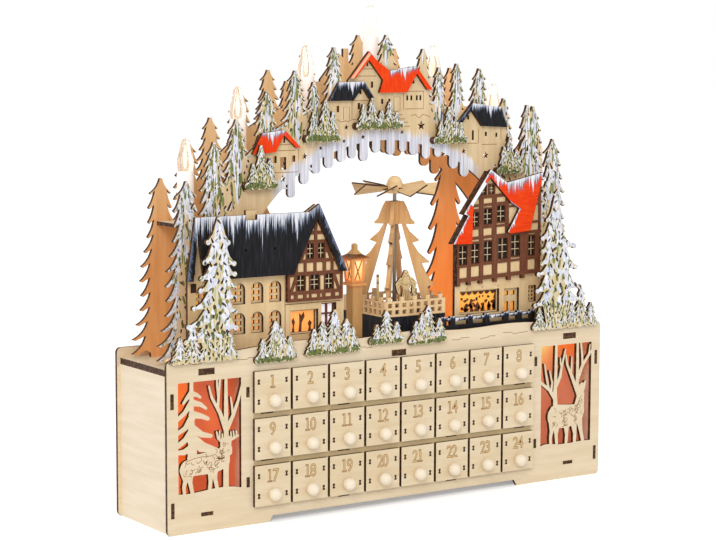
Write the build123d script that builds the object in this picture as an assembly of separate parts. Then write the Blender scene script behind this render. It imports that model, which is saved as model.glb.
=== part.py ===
from build123d import *
import os
from math import atan2, cos, hypot, pi, sin

# Wooden advent calendar: a plywood cabinet of small drawers with a lit village and candle arches on top.
# Millimetres. +Z is up, -Y is the front, and the origin is on the floor at the centre of the outer box.

# Boards and cabinet
PLY = 3.0
CABINET_WIDTH = 420.0
CABINET_DEPTH = 84.0
PANEL_HEIGHT = 133.0
CORNER_RADIUS = 4.0
CREST_RISE = 5.0
SIDE_INSET = 3.0
FOOT_SPAN = 236.0
FOOT_RISE = 5.0
FOOT_SLANT = 3.0
BOTTOM_LIFT = 12.0
DECK_THICKNESS = 5.0
DECK_SEAM = 50.0

# Drawers
COLUMNS = 8
ROWS = 3
SCENE_BAY = 73.2
ROW_PITCH = 36.7
FRONT_GAP = 2.2
FRONT_HEIGHT = 32.0
FRONT_THICKNESS = 3.0
FRONT_LIP = 1.3
TRAY_WALL = 2.0
TRAY_INSET = 2.6
TRAY_HEIGHT = 24.0
TRAY_LENGTH = 46.0
TRAY_CLEARANCE = 0.6
OPENING_HEIGHT = 28.0
TRAY_TAB_HEIGHT = 4.0
TRAY_TAB_LOW = 5.0
TRAY_TAB_HIGH = 20.5
KNOB_DIAMETER = 10.0
KNOB_REACH = 9.0
KNOB_DROP = 23.0

# Lit scenes at both ends of the front
LIGHTBOX_WALL_GAP = 1.7
SCENE_MARGIN_SIDE = 3.5
SCENE_MARGIN_INNER = 4.5
SCENE_BOTTOM = 30.0
SCENE_HEIGHT = 85.5
SCENE_DRAWN_WIDTH = 54.5
SCENE_DRAWN_HEIGHT = 85.5
BACKING_GAP = 15.0
BACKING_THICKNESS = 1.0

# Layers of the village, as distances behind the front face
TREE_BOARD = 3.0
BANK_HEIGHT = 3.0
FENCE_SETBACK = 5.0
HOUSE_SETBACK = 9.0
HOUSE_LAYER = 3.0
WINDOW_LAYER = 2.0
FRONT_ARCH_SETBACK = 29.0
BACK_ARCH_SETBACK = 70.0

# Candle arches, heights above the deck
ARCH_CENTRE = 18.0
ARCH_INNER_RADIUS = 148.0
ARCH_INNER_SHIFT = 5.5
ARCH_OUTER_RADIUS = 186.0
ARCH_DRAWN_INNER = 148.0
ARCH_DRAWN_OUTER = 186.0
ARCH_TAB_X = 165.0
ARCH_TAB_WIDTH = 20.0
ROOF_BOARD = 3.0
CANDLE_SETBACK = 42.0
CANDLE_DIAMETER = 13.0
CANDLE_SLEEVE = 40.0
CANDLE_TIP = 25.0
BRIDGE_WIDTH = 20.0
CANDLES = ((0, 273.5), (61.5, 242), (123.6, 210), (170, 171))

# Turning pyramid
PYRAMID_X = 22.0
PYRAMID_SETBACK = 39.0
PYRAMID_SIDE = 60.0
PYRAMID_BASE_HEIGHT = 25.0
PYRAMID_FENCE_HEIGHT = 16.0
PYRAMID_FENCE_BOARD = 2.0
FIN_TOP = 115.6
FIN_BOARD = 3.0
BOSS_SIDE = 8.0
BOSS_HEIGHT = 18.6
SPINDLE_DIAMETER = 3.0
SPINDLE_CLEARANCE = 0.05
PIVOT_DEPTH = 2.0
HUB_LIFT = 6.4
HUB_HEIGHT = 8.0
HUB_ACROSS = 13.0
BLADES = 8
BLADE_TIP_RADIUS = 35.5
BLADE_STEM = 2.0
BLADE_ROOT_WIDTH = 9.0
BLADE_TIP_WIDTH = 19.0
BLADE_THICKNESS = 1.2
BLADE_TILT = 28.0

# Lantern
LANTERN_X = -33.0
LANTERN_SETBACK = 15.0
LANTERN_POST = 9.2
LANTERN_POST_HEIGHT = 52.5
LANTERN_HEAD = 14.0
LANTERN_HEAD_HEIGHT = 22.0

# Power at the back
CASE_X = 90.0
CASE_Z = 68.0
CASE_WIDTH = 72.0
CASE_HEIGHT = 60.0
CASE_DEPTH = 20.0
CASE_WALL = 5.0
CASE_FLOOR = 2.0
COVER_CLEARANCE = 0.2
COVER_SEAT = 2.0
CELL_DIAMETER = 14.5
CELL_LENGTH = 50.5
CELL_GAP = 0.4
CELLS = 3
SWITCH_X = 30.0
SWITCH_TRAVEL = 4.0
SWITCH_KNOB = 4.0
SWITCH_FLANGE = 8.0
SWITCH_FLANGE_DEPTH = 2.0
SWITCH_CLEARANCE = 0.1

# Places worked out from the sizes above
COLUMN_PITCH = (CABINET_WIDTH - 2 * SCENE_BAY) / COLUMNS
FRONT_WIDTH = COLUMN_PITCH - FRONT_GAP
TRAY_WIDTH = FRONT_WIDTH - 2 * TRAY_INSET
TOTAL_DEPTH = CABINET_DEPTH + FRONT_THICKNESS + KNOB_REACH
FRONT_Y = FRONT_THICKNESS + KNOB_REACH - TOTAL_DEPTH / 2
INNER_FRONT = FRONT_Y + PLY
BACK_Y = FRONT_Y + CABINET_DEPTH
INNER_BACK = BACK_Y - PLY
FLOOR_TOP = BOTTOM_LIFT + PLY
DECK_TOP = FLOOR_TOP + ROWS * ROW_PITCH
DECK_UNDER = DECK_TOP - DECK_THICKNESS
SIDE_X = CABINET_WIDTH / 2 - SIDE_INSET - PLY / 2
LIGHTBOX_X = COLUMNS / 2 * COLUMN_PITCH + LIGHTBOX_WALL_GAP + PLY / 2
SEAM_Y = FRONT_Y + DECK_SEAM
MIDDLE_FRONT = SEAM_Y - PLY / 2
SHELF_TOPS = [FLOOR_TOP + row * ROW_PITCH for row in range(ROWS)]
COLUMN_XS = [(column - (COLUMNS - 1) / 2) * COLUMN_PITCH for column in range(COLUMNS)]
SCENE_INNER_X = LIGHTBOX_X + PLY / 2 + SCENE_MARGIN_INNER
SCENE_OUTER_X = SIDE_X - PLY / 2 - SCENE_MARGIN_SIDE
SCENE_WIDTH = SCENE_OUTER_X - SCENE_INNER_X
PYRAMID_Y = FRONT_Y + PYRAMID_SETBACK
BASE_TOP = DECK_TOP + PYRAMID_BASE_HEIGHT


def polygon(points):
    return make_face(Polyline(*points, close=True))


def rect(x0, x1, z0, z1):
    return Pos((x0 + x1) / 2, (z0 + z1) / 2) * Rectangle(x1 - x0, z1 - z0)


def board(outline, y_front, thickness=PLY):
    """A board cut from an outline drawn in X and Z, running back from y_front."""
    plane = Plane(origin=(0, y_front + thickness, 0), x_dir=(1, 0, 0), z_dir=(0, -1, 0))
    return extrude(plane * outline, thickness)


def deck_board(outline, y_front, thickness=PLY):
    """A board whose outline is drawn in X and in height above the deck."""
    return board(Pos(0, DECK_TOP) * outline, y_front, thickness)


def block(x0, x1, y0, y1, z0, z1):
    return Pos((x0 + x1) / 2, (y0 + y1) / 2, (z0 + z1) / 2) * Box(x1 - x0, y1 - y0, z1 - z0)


def group(pieces):
    """Several pieces kept as separate solids of one node."""
    return Compound([solid for piece in pieces for solid in piece.solids()])


def joined(shapes):
    """One outline made of overlapping outlines."""
    shapes = list(shapes)
    return shapes[0] + shapes[1:] if len(shapes) > 1 else shapes[0]


def limb(points, widths):
    """A rounded stroke through the points, as wide at each as given."""
    pieces = [Pos(*point) * Circle(width / 2) for point, width in zip(points, widths)]
    for (x0, z0), (x1, z1), wide, narrow in zip(points, points[1:], widths, widths[1:]):
        turn = atan2(z1 - z0, x1 - x0)
        nx, nz = -sin(turn) / 2, cos(turn) / 2
        pieces.append(polygon([
            (x0 + nx * wide, z0 + nz * wide), (x1 + nx * narrow, z1 + nz * narrow),
            (x1 - nx * narrow, z1 - nz * narrow), (x0 - nx * wide, z0 - nz * wide)]))
    return joined(pieces)


def fir(x, base, tip, spread, tiers):
    """A fir tree outline: drooping branches in tiers, each top edge a hollow arc."""
    step = (tip - base) / (tiers + 0.3)
    crown = 1.0
    droop = 0.22 * step
    blunt = 0.09 * step
    sides = []
    for side in (1, -1):
        edges = []
        start = (x + side * crown, tip)
        for tier in range(tiers):
            uneven = 1 + 0.1 * sin(5.0 * tier + 2.0 * side + 0.37 * x)
            reach = spread * (0.3 + 0.7 * (tier + 1) / tiers) * uneven
            end = (x + side * reach, tip - (tier + 1) * step)
            sag = 0.13 * abs(end[0] - start[0])
            middle = ((start[0] + end[0]) / 2 - side * sag, (start[1] + end[1]) / 2 - sag)
            under = (x + side * reach * 0.9, end[1] - blunt)
            notch = (x + side * reach * 0.55, end[1] + droop)
            edges.append(ThreePointArc(start, middle, end))
            edges.append(Line(end, under))
            edges.append(Line(under, notch))
            start = notch
        foot = (x + side * spread * 0.16, base)
        edges.append(Line(start, foot))
        sides.append((edges, foot))
    (right, right_foot), (left, left_foot) = sides
    top = Line((x - crown, tip), (x + crown, tip))
    return make_face(right + left + [Line(right_foot, left_foot), top])


def firs(trees):
    """Overlapping fir trees given as x, base, tip, spread and tiers."""
    return joined(fir(*tree) for tree in trees)


def snowy_fir(x, base, tip, left_ends, right_ends):
    """A fir with snow-rounded branch ends, each given as its reach from the trunk and its height."""
    blob = 2.0
    half_trunk = 2.2
    pieces = [Pos(x, tip - half_trunk) * Circle(half_trunk)]
    for side, ends in ((-1, left_ends), (1, right_ends)):
        outline = [(x, tip - half_trunk), (x + side * half_trunk, tip - half_trunk)]
        for reach, height in ends:
            crook_x, crook_z = outline[-1]
            end_x = x + side * reach
            outline.append((crook_x + 0.4 * (end_x - crook_x), crook_z + 0.62 * (height - crook_z)))
            outline.append((end_x, height))
            outline.append((x + side * (0.5 * reach + 1), height - 0.4 * blob))
            pieces.append(Pos(end_x - side * 0.7 * blob, height + 0.1 * blob) * Circle(blob))
        outline += [(x + side * 0.35 * ends[-1][0], base), (x, base)]
        pieces.append(polygon(outline))
    return joined(pieces)


def fir_slits(x, base, tip, spread, tiers):
    """Short slanted cuts on both sides of a fir's trunk, below its top tier."""
    step = (tip - base) / (tiers + 0.3)
    cuts = []
    for tier in range(1, tiers):
        width = spread * (0.3 + 0.7 * (tier + 1) / tiers)
        for side in (1, -1):
            out = side * width * (0.14 + 0.26 * sin(2.3 * tier + side + 0.5 * x) ** 2)
            z = tip - (tier + 0.6 - 0.2 * sin(3.1 * tier + 2 * side)) * step
            ends = [(x + out, z), (x + out + side * 0.1 * step, z + 0.24 * step)]
            cuts.append(limb(ends, [0.13 * step, 0.07 * step]))
    return cuts


def star(x, z, radius):
    tips = 5
    return polygon([(x + radius * (1 if n % 2 == 0 else 0.42) * sin(pi * n / tips),
                     z + radius * (1 if n % 2 == 0 else 0.42) * cos(pi * n / tips))
                    for n in range(2 * tips)])


def arched(x, z, width, height):
    """A window outline with a round head, centred on x and standing on z."""
    radius = width / 2
    return rect(x - radius, x + radius, z, z + height - radius) + Pos(x, z + height - radius) * Circle(radius)


def panes(x, z, width, height, columns, rows, bar):
    """The glass openings of one barred window."""
    pane_w = (width - bar * (columns + 1)) / columns
    pane_h = (height - bar * (rows + 1)) / rows
    left, low = x - width / 2 + bar, z + bar
    return [rect(left + c * (pane_w + bar), left + c * (pane_w + bar) + pane_w,
                 low + r * (pane_h + bar), low + r * (pane_h + bar) + pane_h)
            for c in range(columns) for r in range(rows)]


# Where boards are let into the front and back panels: centre x, centre z, width and height of each tab
INNER_TAB_X = COLUMN_XS[5] + 1.2
OUTER_TAB_X = COLUMN_XS[7] + 3.3
END_TAB_X = SIDE_X - 29.5
SHELF_TAB_XS = (-OUTER_TAB_X, -INNER_TAB_X, INNER_TAB_X, OUTER_TAB_X)
SHELF_TAB_WIDTH = 11.0
FLOOR_TAB_XS = (-END_TAB_X, -INNER_TAB_X, INNER_TAB_X, END_TAB_X)
FLOOR_TAB_WIDTH = 10.5
DECK_TAB_XS = (-END_TAB_X, 0.0, END_TAB_X)
DECK_TAB_WIDTH = 14.0
SIDE_TAB_HEIGHT = 12.0
SIDE_TAB_ZS = (19.0, 102.0)
LIGHTBOX_TAB_HEIGHT = 8.0
LIGHTBOX_TAB_ZS = (33.5, 103.5)


def floor_tabs():
    return [(x, BOTTOM_LIFT + PLY / 2, FLOOR_TAB_WIDTH, PLY) for x in FLOOR_TAB_XS]


def deck_tabs():
    return [(x, DECK_TOP - DECK_THICKNESS / 2, DECK_TAB_WIDTH, DECK_THICKNESS) for x in DECK_TAB_XS]


def side_tabs(sign):
    return [(sign * SIDE_X, z, PLY, SIDE_TAB_HEIGHT) for z in SIDE_TAB_ZS]


def lightbox_tabs(sign):
    return [(sign * LIGHTBOX_X, z, PLY, LIGHTBOX_TAB_HEIGHT) for z in LIGHTBOX_TAB_ZS]


def shelf_tabs(shelf_top):
    return [(x, shelf_top - PLY / 2, SHELF_TAB_WIDTH, PLY) for x in SHELF_TAB_XS]


def outer_tabs():
    return floor_tabs() + deck_tabs() + side_tabs(1) + side_tabs(-1)


def tab_rects(tabs):
    return [rect(x - w / 2, x + w / 2, z - h / 2, z + h / 2) for x, z, w, h in tabs]


def tab_blocks(tabs, y0, y1):
    return [block(x - w / 2, x + w / 2, y0, y1, z - h / 2, z + h / 2) for x, z, w, h in tabs]


def scene_points(points, sign):
    """Points drawn from a scene window's lower left corner, fitted to the window's real size."""
    left = SCENE_INNER_X if sign > 0 else -SCENE_OUTER_X
    return [(left + u * SCENE_WIDTH / SCENE_DRAWN_WIDTH, SCENE_BOTTOM + v * SCENE_HEIGHT / SCENE_DRAWN_HEIGHT)
            for u, v in points]


def scene_window(sign):
    low = min(sign * SCENE_INNER_X, sign * SCENE_OUTER_X)
    return rect(low, low + SCENE_WIDTH, SCENE_BOTTOM, SCENE_BOTTOM + SCENE_HEIGHT)


def bare_tree(strokes, sign):
    """Forked trunk and branches, each stroke given as points and widths."""
    return [limb(scene_points(points, sign), widths) for points, widths in strokes]


def stag_fretwork():
    """A stag under a fir and a forked bare tree."""
    sign = -1
    ground = make_face([Spline(*scene_points([(-2, 1.5), (12, 0.8), (26, 2), (44, 2.2), (57, -0.5)], sign)),
                        Polyline(*scene_points([(57, -0.5), (57, -6), (-2, -6), (-2, 1.5)], sign))])
    fir_strokes = [
        ([(11.5, 90), (11.5, 60), (12, 30)], [3, 4, 8]),
        ([(11.5, 78), (8, 74), (4.5, 70)], [4, 3.4, 2]),
        ([(11.5, 70), (6, 63), (-2, 57)], [5, 3.6, 3]),
        ([(11.5, 58), (6, 51), (-2, 47)], [6, 4, 3]),
        ([(11.5, 48), (6, 42), (-2, 37)], [6, 4.4, 4]),
        ([(12, 36), (5, 33), (-2, 33)], [6, 4.5, 3]),
        ([(12, 77), (16, 75.5), (19, 73.5)], [4, 3, 2]),
        ([(12, 70), (19, 68), (24, 64.5)], [5, 3.6, 2]),
        ([(12, 61), (20, 59), (25.5, 56.5)], [6, 4, 3]),
        ([(12, 50), (20, 45), (28, 43)], [7, 4.5, 3]),
        ([(12, 42), (20, 35.5), (33.5, 31)], [9, 8, 4])]
    stag_strokes = [
        ([(8, 20), (18, 21.5), (30, 21.5), (38, 23)], [13, 15, 15, 13]),
        ([(9, 28), (20, 29), (34, 29)], [3, 3, 4]),
        ([(38, 26), (41, 33), (42, 38)], [13, 9, 8]),
        ([(40, 36), (43.5, 31.5), (44.5, 28.5)], [8, 6, 4]),
        ([(39.5, 36.5), (36.5, 38.5), (34.2, 40.5), (33, 45.5)], [2.6, 2.2, 1.9, 1.4]),
        ([(35.4, 39.4), (35.6, 42.5), (35.6, 46)], [1.8, 1.5, 1.2]),
        ([(37.4, 38), (38, 41), (37.9, 43.5)], [1.8, 1.5, 1.2]),
        ([(43.5, 36.5), (46, 38.6), (48.6, 39.4), (52, 41)], [2.6, 2.2, 1.9, 1.4]),
        ([(46.2, 38.6), (45.6, 41.5), (45.4, 44.4)], [1.8, 1.5, 1.2]),
        ([(48, 39.2), (48, 41.5), (47.6, 44.8)], [1.8, 1.5, 1.2]),
        ([(50.2, 40.2), (50.4, 42.4), (50, 44.6)], [1.8, 1.5, 1.2]),
        ([(5, 19), (6, 11), (4.5, 6), (5.5, -2)], [8, 4, 3, 2.6]),
        ([(9, 17), (10, 9), (12.5, -2)], [8, 3.6, 2.8]),
        ([(28, 17), (27.5, 8), (26.3, -2)], [6, 3.4, 2.8]),
        ([(31, 17), (31.5, 10), (34, -2)], [6, 3.6, 2.8])]
    tree_strokes = [
        ([(41, -3), (41, 14), (41.5, 26)], [5, 4.6, 5]),
        ([(41.5, 36), (41.2, 50), (41.3, 90)], [4.5, 4, 2.4]),
        ([(41.2, 46), (36, 60), (29, 72), (26.5, 81)], [4, 3.2, 2.2, 1.4]),
        ([(34, 64), (35, 74), (36.5, 90)], [2.4, 2, 1.6]),
        ([(34.6, 72), (33.6, 80), (33.4, 90)], [1.8, 1.6, 1.4]),
        ([(41.5, 46), (47.5, 57), (52, 68), (56, 82)], [4, 3, 2.4, 1.8]),
        ([(47.3, 56), (46.5, 64), (45.3, 71)], [2.2, 1.8, 1.2])]
    return joined([ground] + bare_tree(fir_strokes + stag_strokes + tree_strokes, sign))


def doe_fretwork():
    """A doe between two bare forked trees."""
    sign = 1
    ground = make_face([Spline(*scene_points([(-2, -0.5), (5, 1.4), (20, 0), (40, 0.4), (57, 0)], sign)),
                        Polyline(*scene_points([(57, 0), (57, -6), (-2, -6), (-2, -0.5)], sign))])
    doe_strokes = [
        ([(17.5, 24.5), (28, 23.5), (38, 24.5)], [20, 20, 17]),
        ([(13, 31), (10.5, 28), (9, 25)], [5, 4, 2]),
        ([(41, 27), (42.5, 35), (43.5, 41)], [13, 9.5, 8]),
        ([(42, 42), (43.5, 45), (44.5, 48)], [7, 7, 6]),
        ([(46, 46), (47.5, 50), (48.3, 52)], [4, 2.6, 1.4]),
        ([(41, 46), (39.5, 49), (39, 51)], [4, 2.6, 1.4]),
        ([(12.5, 22), (12, 12), (10.8, 6), (11.5, -2)], [8, 4, 3, 2.6]),
        ([(17, 17), (17, 9), (17.8, -2)], [8, 3.6, 2.6]),
        ([(28, 16), (28.5, 8), (27.8, -2)], [6, 3.4, 2.8]),
        ([(36, 18), (37.5, 8), (37.2, -2)], [7, 3.8, 3]),
        ([(42, 20), (44, 10), (47, -2)], [7, 3.8, 3])]
    tree_strokes = [
        ([(16, 30), (15.2, 45), (15.8, 60), (16, 90)], [5, 4, 3.2, 2.4]),
        ([(15.2, 40), (9, 48), (-2, 56)], [4, 3, 2.4]),
        ([(8, 50), (5.5, 60), (3.5, 70)], [2.4, 2, 1.2]),
        ([(11, 46), (12, 54), (9, 64)], [2.4, 2, 1.2]),
        ([(16.5, 51), (20.5, 58), (22, 66), (26, 81)], [3.6, 3, 2.4, 1.4]),
        ([(22, 66), (20.8, 70), (20.6, 74)], [2, 1.6, 1.2]),
        ([(39.5, 46), (39.5, 60), (39.3, 90)], [4, 3.2, 2.4]),
        ([(39.6, 44), (33, 58), (28, 68), (26.5, 76)], [4, 3, 2.2, 1.4]),
        ([(32.5, 60), (33, 67), (33, 74)], [2.2, 1.8, 1.2]),
        ([(40, 55), (45, 66), (53, 76), (57, 80)], [3.6, 3, 2.4, 2]),
        ([(45, 66), (44.2, 76), (42.3, 90)], [2.4, 2, 1.8]),
        ([(52, 75), (52.5, 79), (53, 83)], [2, 1.6, 1.2])]
    return joined([ground] + bare_tree(doe_strokes + tree_strokes, sign))


def front_panel():
    half = CABINET_WIDTH / 2
    reach = half - 2 * CORNER_RADIUS
    hem = PANEL_HEIGHT - CREST_RISE
    outline = Pos(0, PANEL_HEIGHT / 2) * RectangleRounded(CABINET_WIDTH, PANEL_HEIGHT, CORNER_RADIUS)
    hills = [(-1, 0.0), (-0.72, 0.75), (-0.46, 1.35), (-0.2, 0.8), (0.05, 1.2), (0.3, 0.7),
             (0.55, 1.0), (0.8, 0.45), (1, 0.0)]
    crest = Spline(*[(share * reach, PANEL_HEIGHT + lift * CREST_RISE) for share, lift in hills])
    sides = Polyline((reach, PANEL_HEIGHT), (reach, hem), (-reach, hem), (-reach, PANEL_HEIGHT))
    outline += make_face([crest, sides])
    foot = FOOT_SPAN / 2
    cuts = [polygon([(-foot - FOOT_SLANT, 0), (-foot, FOOT_RISE), (foot, FOOT_RISE), (foot + FOOT_SLANT, 0)])]
    opening_half = TRAY_WIDTH / 2 + TRAY_CLEARANCE
    for shelf_top in SHELF_TOPS:
        cuts += [rect(x - opening_half, x + opening_half, shelf_top, shelf_top + OPENING_HEIGHT)
                 for x in COLUMN_XS]
    cuts += tab_rects(outer_tabs() + lightbox_tabs(1) + lightbox_tabs(-1))
    for shelf_top in SHELF_TOPS[1:]:
        cuts += tab_rects(shelf_tabs(shelf_top))
    cuts.append(scene_window(-1) - stag_fretwork())
    cuts.append(scene_window(1) - doe_fretwork())
    return board(outline - cuts, FRONT_Y)


def back_panel():
    outline = Pos(0, PANEL_HEIGHT / 2) * RectangleRounded(CABINET_WIDTH, PANEL_HEIGHT, CORNER_RADIUS)
    lip_w = CASE_WIDTH / 2 - CASE_WALL + COVER_SEAT
    lip_h = CASE_HEIGHT / 2 - CASE_WALL + COVER_SEAT
    cuts = tab_rects(outer_tabs())
    cuts.append(rect(CASE_X - lip_w, CASE_X + lip_w, CASE_Z - lip_h, CASE_Z + lip_h))
    slot = (SWITCH_KNOB + SWITCH_TRAVEL) / 2 + SWITCH_CLEARANCE
    tall = SWITCH_KNOB / 2 + SWITCH_CLEARANCE
    cuts.append(rect(SWITCH_X - slot, SWITCH_X + slot, CASE_Z - tall, CASE_Z + tall))
    return board(outline - cuts, INNER_BACK)


def side_panels():
    pieces = []
    for sign in (-1, 1):
        x0, x1 = sign * SIDE_X - PLY / 2, sign * SIDE_X + PLY / 2
        wall = block(x0, x1, INNER_FRONT, INNER_BACK, 0, DECK_UNDER)
        tabs = tab_blocks(side_tabs(sign), FRONT_Y, INNER_FRONT)
        tabs += tab_blocks(side_tabs(sign), INNER_BACK, BACK_Y)
        pieces.append(wall + tabs)
    return group(pieces)


def bottom_panel():
    half = SIDE_X - PLY / 2
    tabs = tab_blocks(floor_tabs(), FRONT_Y, INNER_FRONT) + tab_blocks(floor_tabs(), INNER_BACK, BACK_Y)
    return block(-half, half, INNER_FRONT, INNER_BACK, BOTTOM_LIFT, FLOOR_TOP) + tabs


def arch_tab_blocks(setback):
    y0 = FRONT_Y + setback
    return [block(x - ARCH_TAB_WIDTH / 2, x + ARCH_TAB_WIDTH / 2, y0, y0 + PLY, DECK_UNDER, DECK_TOP)
            for x in (-ARCH_TAB_X, ARCH_TAB_X)]


def top_boards():
    half = SIDE_X + PLY / 2
    front = block(-half, half, INNER_FRONT, SEAM_Y, DECK_UNDER, DECK_TOP)
    front = front + tab_blocks(deck_tabs(), FRONT_Y, INNER_FRONT) - arch_tab_blocks(FRONT_ARCH_SETBACK)
    rear = block(-half, half, SEAM_Y, INNER_BACK, DECK_UNDER, DECK_TOP)
    rear = rear + tab_blocks(deck_tabs(), INNER_BACK, BACK_Y) - arch_tab_blocks(BACK_ARCH_SETBACK)
    return group([front, rear])


def middle_wall():
    half = SIDE_X - PLY / 2
    return block(-half, half, MIDDLE_FRONT, MIDDLE_FRONT + PLY, FLOOR_TOP, DECK_UNDER)


def lightbox_walls():
    pieces = []
    for sign in (-1, 1):
        x0, x1 = sign * LIGHTBOX_X - PLY / 2, sign * LIGHTBOX_X + PLY / 2
        wall = block(x0, x1, INNER_FRONT, MIDDLE_FRONT, FLOOR_TOP, DECK_UNDER)
        pieces.append(wall + tab_blocks(lightbox_tabs(sign), FRONT_Y, INNER_FRONT))
    return group(pieces)


def drawer_grid():
    """Shelves and dividers that halve into each other, as in a bottle crate."""
    half = LIGHTBOX_X - PLY / 2
    lap_y = (INNER_FRONT + MIDDLE_FRONT) / 2
    divider_xs = [(n + 1 - COLUMNS / 2) * COLUMN_PITCH for n in range(COLUMNS - 1)]
    pieces = []
    for shelf_top in SHELF_TOPS[1:]:
        shelf = block(-half, half, INNER_FRONT, MIDDLE_FRONT, shelf_top - PLY, shelf_top)
        shelf += tab_blocks(shelf_tabs(shelf_top), FRONT_Y, INNER_FRONT)
        shelf -= [block(x - PLY / 2, x + PLY / 2, INNER_FRONT, lap_y, shelf_top - PLY, shelf_top)
                  for x in divider_xs]
        pieces.append(shelf)
    for x in divider_xs:
        divider = block(x - PLY / 2, x + PLY / 2, INNER_FRONT, MIDDLE_FRONT, FLOOR_TOP, DECK_UNDER)
        divider -= [block(x - PLY / 2, x + PLY / 2, lap_y, MIDDLE_FRONT, top - PLY, top)
                    for top in SHELF_TOPS[1:]]
        pieces.append(divider)
    return group(pieces)


def scene_backings():
    y0 = INNER_FRONT + BACKING_GAP
    x0, x1 = LIGHTBOX_X + PLY / 2, SIDE_X - PLY / 2
    right = block(x0, x1, y0, y0 + BACKING_THICKNESS, FLOOR_TOP, DECK_UNDER)
    return group([right, mirror(right, Plane.YZ)])


def drawer(x, shelf_top):
    """One drawer: front board, two tabbed sides, back, bottom and a turned knob."""
    front_low = shelf_top - FRONT_LIP
    front_y = FRONT_Y - FRONT_THICKNESS
    side_in, side_out = TRAY_WIDTH / 2 - TRAY_WALL, TRAY_WIDTH / 2
    tab_lows = (shelf_top + TRAY_TAB_LOW, shelf_top + TRAY_TAB_HIGH)
    tab_spans = [(low, low + TRAY_TAB_HEIGHT) for low in tab_lows]
    half = FRONT_WIDTH / 2
    face = rect(x - half, x + half, front_low, front_low + FRONT_HEIGHT)
    pieces = []
    for sign in (-1, 1):
        x0, x1 = sorted((x + sign * side_in, x + sign * side_out))
        face -= [rect(x0, x1, low, high) for low, high in tab_spans]
        side = block(x0, x1, FRONT_Y, FRONT_Y + TRAY_LENGTH, shelf_top, shelf_top + TRAY_HEIGHT)
        pieces.append(side + [block(x0, x1, front_y, FRONT_Y, low, high) for low, high in tab_spans])
    pieces.append(board(face, front_y, FRONT_THICKNESS))
    back_y = FRONT_Y + TRAY_LENGTH - TRAY_WALL
    pieces.append(block(x - side_in, x + side_in, back_y, back_y + TRAY_WALL,
                        shelf_top, shelf_top + TRAY_HEIGHT))
    pieces.append(block(x - side_in, x + side_in, FRONT_Y, back_y, shelf_top, shelf_top + TRAY_WALL))
    radius = KNOB_DIAMETER / 2
    knob_z = front_low + FRONT_HEIGHT - KNOB_DROP
    ball = Pos(x, front_y - KNOB_REACH + radius, knob_z) * Sphere(radius)
    behind = block(x - radius, x + radius, front_y, front_y + radius, knob_z - radius, knob_z + radius)
    pieces.append(ball - behind)
    return group(pieces)


# Trees of both candle arches: x, base, tip, spread and tiers, heights above the deck
ARCH_TREES = (
    (-176, 0, 139, 25, 12), (-152, 92, 168, 18, 8), (-132, 108, 185, 18, 9), (-105, 128, 206, 19, 9),
    (-79, 142, 222, 18, 10), (-62, 158, 213, 12, 8), (-43, 165, 240, 15, 10), (7, 185, 250, 18, 8),
    (43, 175, 239, 13, 8), (59, 160, 224, 12, 8), (77, 150, 227, 13, 10), (100, 142, 223, 17, 9),
    (126, 120, 198, 15, 9), (151, 95, 192, 15, 10), (157, 85, 191, 19, 10), (179, 0, 163, 25, 14))
ARCH_HOUSE_SHAPES = (
    ((-118, 140), (-118, 158), (-112, 173), (-92, 175), (-76, 162), (-76, 140)),
    ((-47, 180), (-47, 199), (-40, 212), (-17, 213), (-9, 200), (-9, 180)),
    ((-30, 180), (-30, 214), (-12, 235), (-4, 228), (10, 221), (34, 224), (48, 207), (48, 180)),
    ((80, 158), (80, 180), (91, 193), (120, 190), (122, 175), (122, 158)))
ARCH_ICICLES = (
    (-83, 123, 7), (-71, 133, 8), (-60, 141, 8), (-48, 145, 9), (-36, 149.5, 8), (-26, 152, 7),
    (-15, 149.5, 8), (-3, 156, 8), (11, 154, 8), (23, 156, 7), (34, 153, 9), (46, 150, 8), (58, 151, 7),
    (74, 141, 9), (85, 134, 9))
ARCH_STARS = (
    (-91, 138, 3.2), (-71, 155, 2.8), (-56, 161, 2.0), (-34, 166, 2.0), (-16, 169, 2.4), (-32, 177, 2.4),
    (22, 172, 2.0), (41, 177, 4.2), (84, 155, 2.6), (107, 151, 3.2))
ARCH_WINDOWS = (
    (-98, 150.5, 3, 5.5), (-90.5, 145, 5.5, 10), (-81, 151, 3, 5), (-93, 166, 1.6, 4), (-89.5, 166, 1.6, 4),
    (-40, 189, 2.6, 5), (-20, 191, 2.4, 5), (-18.5, 203, 2, 3), (-15.5, 225, 1.6, 3.5), (-12, 225, 1.6, 3.5),
    (-7.5, 208, 2.4, 5), (2.5, 195, 2, 4), (9.5, 195, 2, 4), (27, 197.5, 1.8, 4), (31, 197.5, 1.8, 4),
    (36.5, 197.5, 1.8, 4), (40, 197.5, 1.8, 4), (33, 211, 2, 3), (83, 170, 2.2, 5), (93.5, 164, 2, 8),
    (107, 167, 2.2, 3.5), (118, 166, 2, 3.5), (88.5, 181, 2, 3.5))
TREE_SLITS = (
    (-157, 126, -156, 130), (-151, 133, -149, 135), (-137, 143, -134, 141), (-140, 116, -137, 122),
    (-166, 120, -163, 124), (-173, 118, -170, 122), (128.5, 163, 129.5, 168), (142, 164, 142, 168),
    (148, 166, 145, 161), (151, 154, 151.6, 158), (157, 150, 159, 146), (161, 156, 162, 160),
    (138, 147, 137, 151), (178, 138, 176, 142), (173, 128, 175, 134), (181, 117, 184, 120),
    (150, 174, 154, 176))
BACK_LEG_TREES = ((98, 0, 150, 30, 7), (-84, 0, 121, 24, 6))
BACK_LEG_BANK = 6.0
CHIMNEY_CORNER = (-8, 225)
CHIMNEY_WIDTH = 5.0
CHIMNEY_HEIGHT = 14.0


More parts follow.
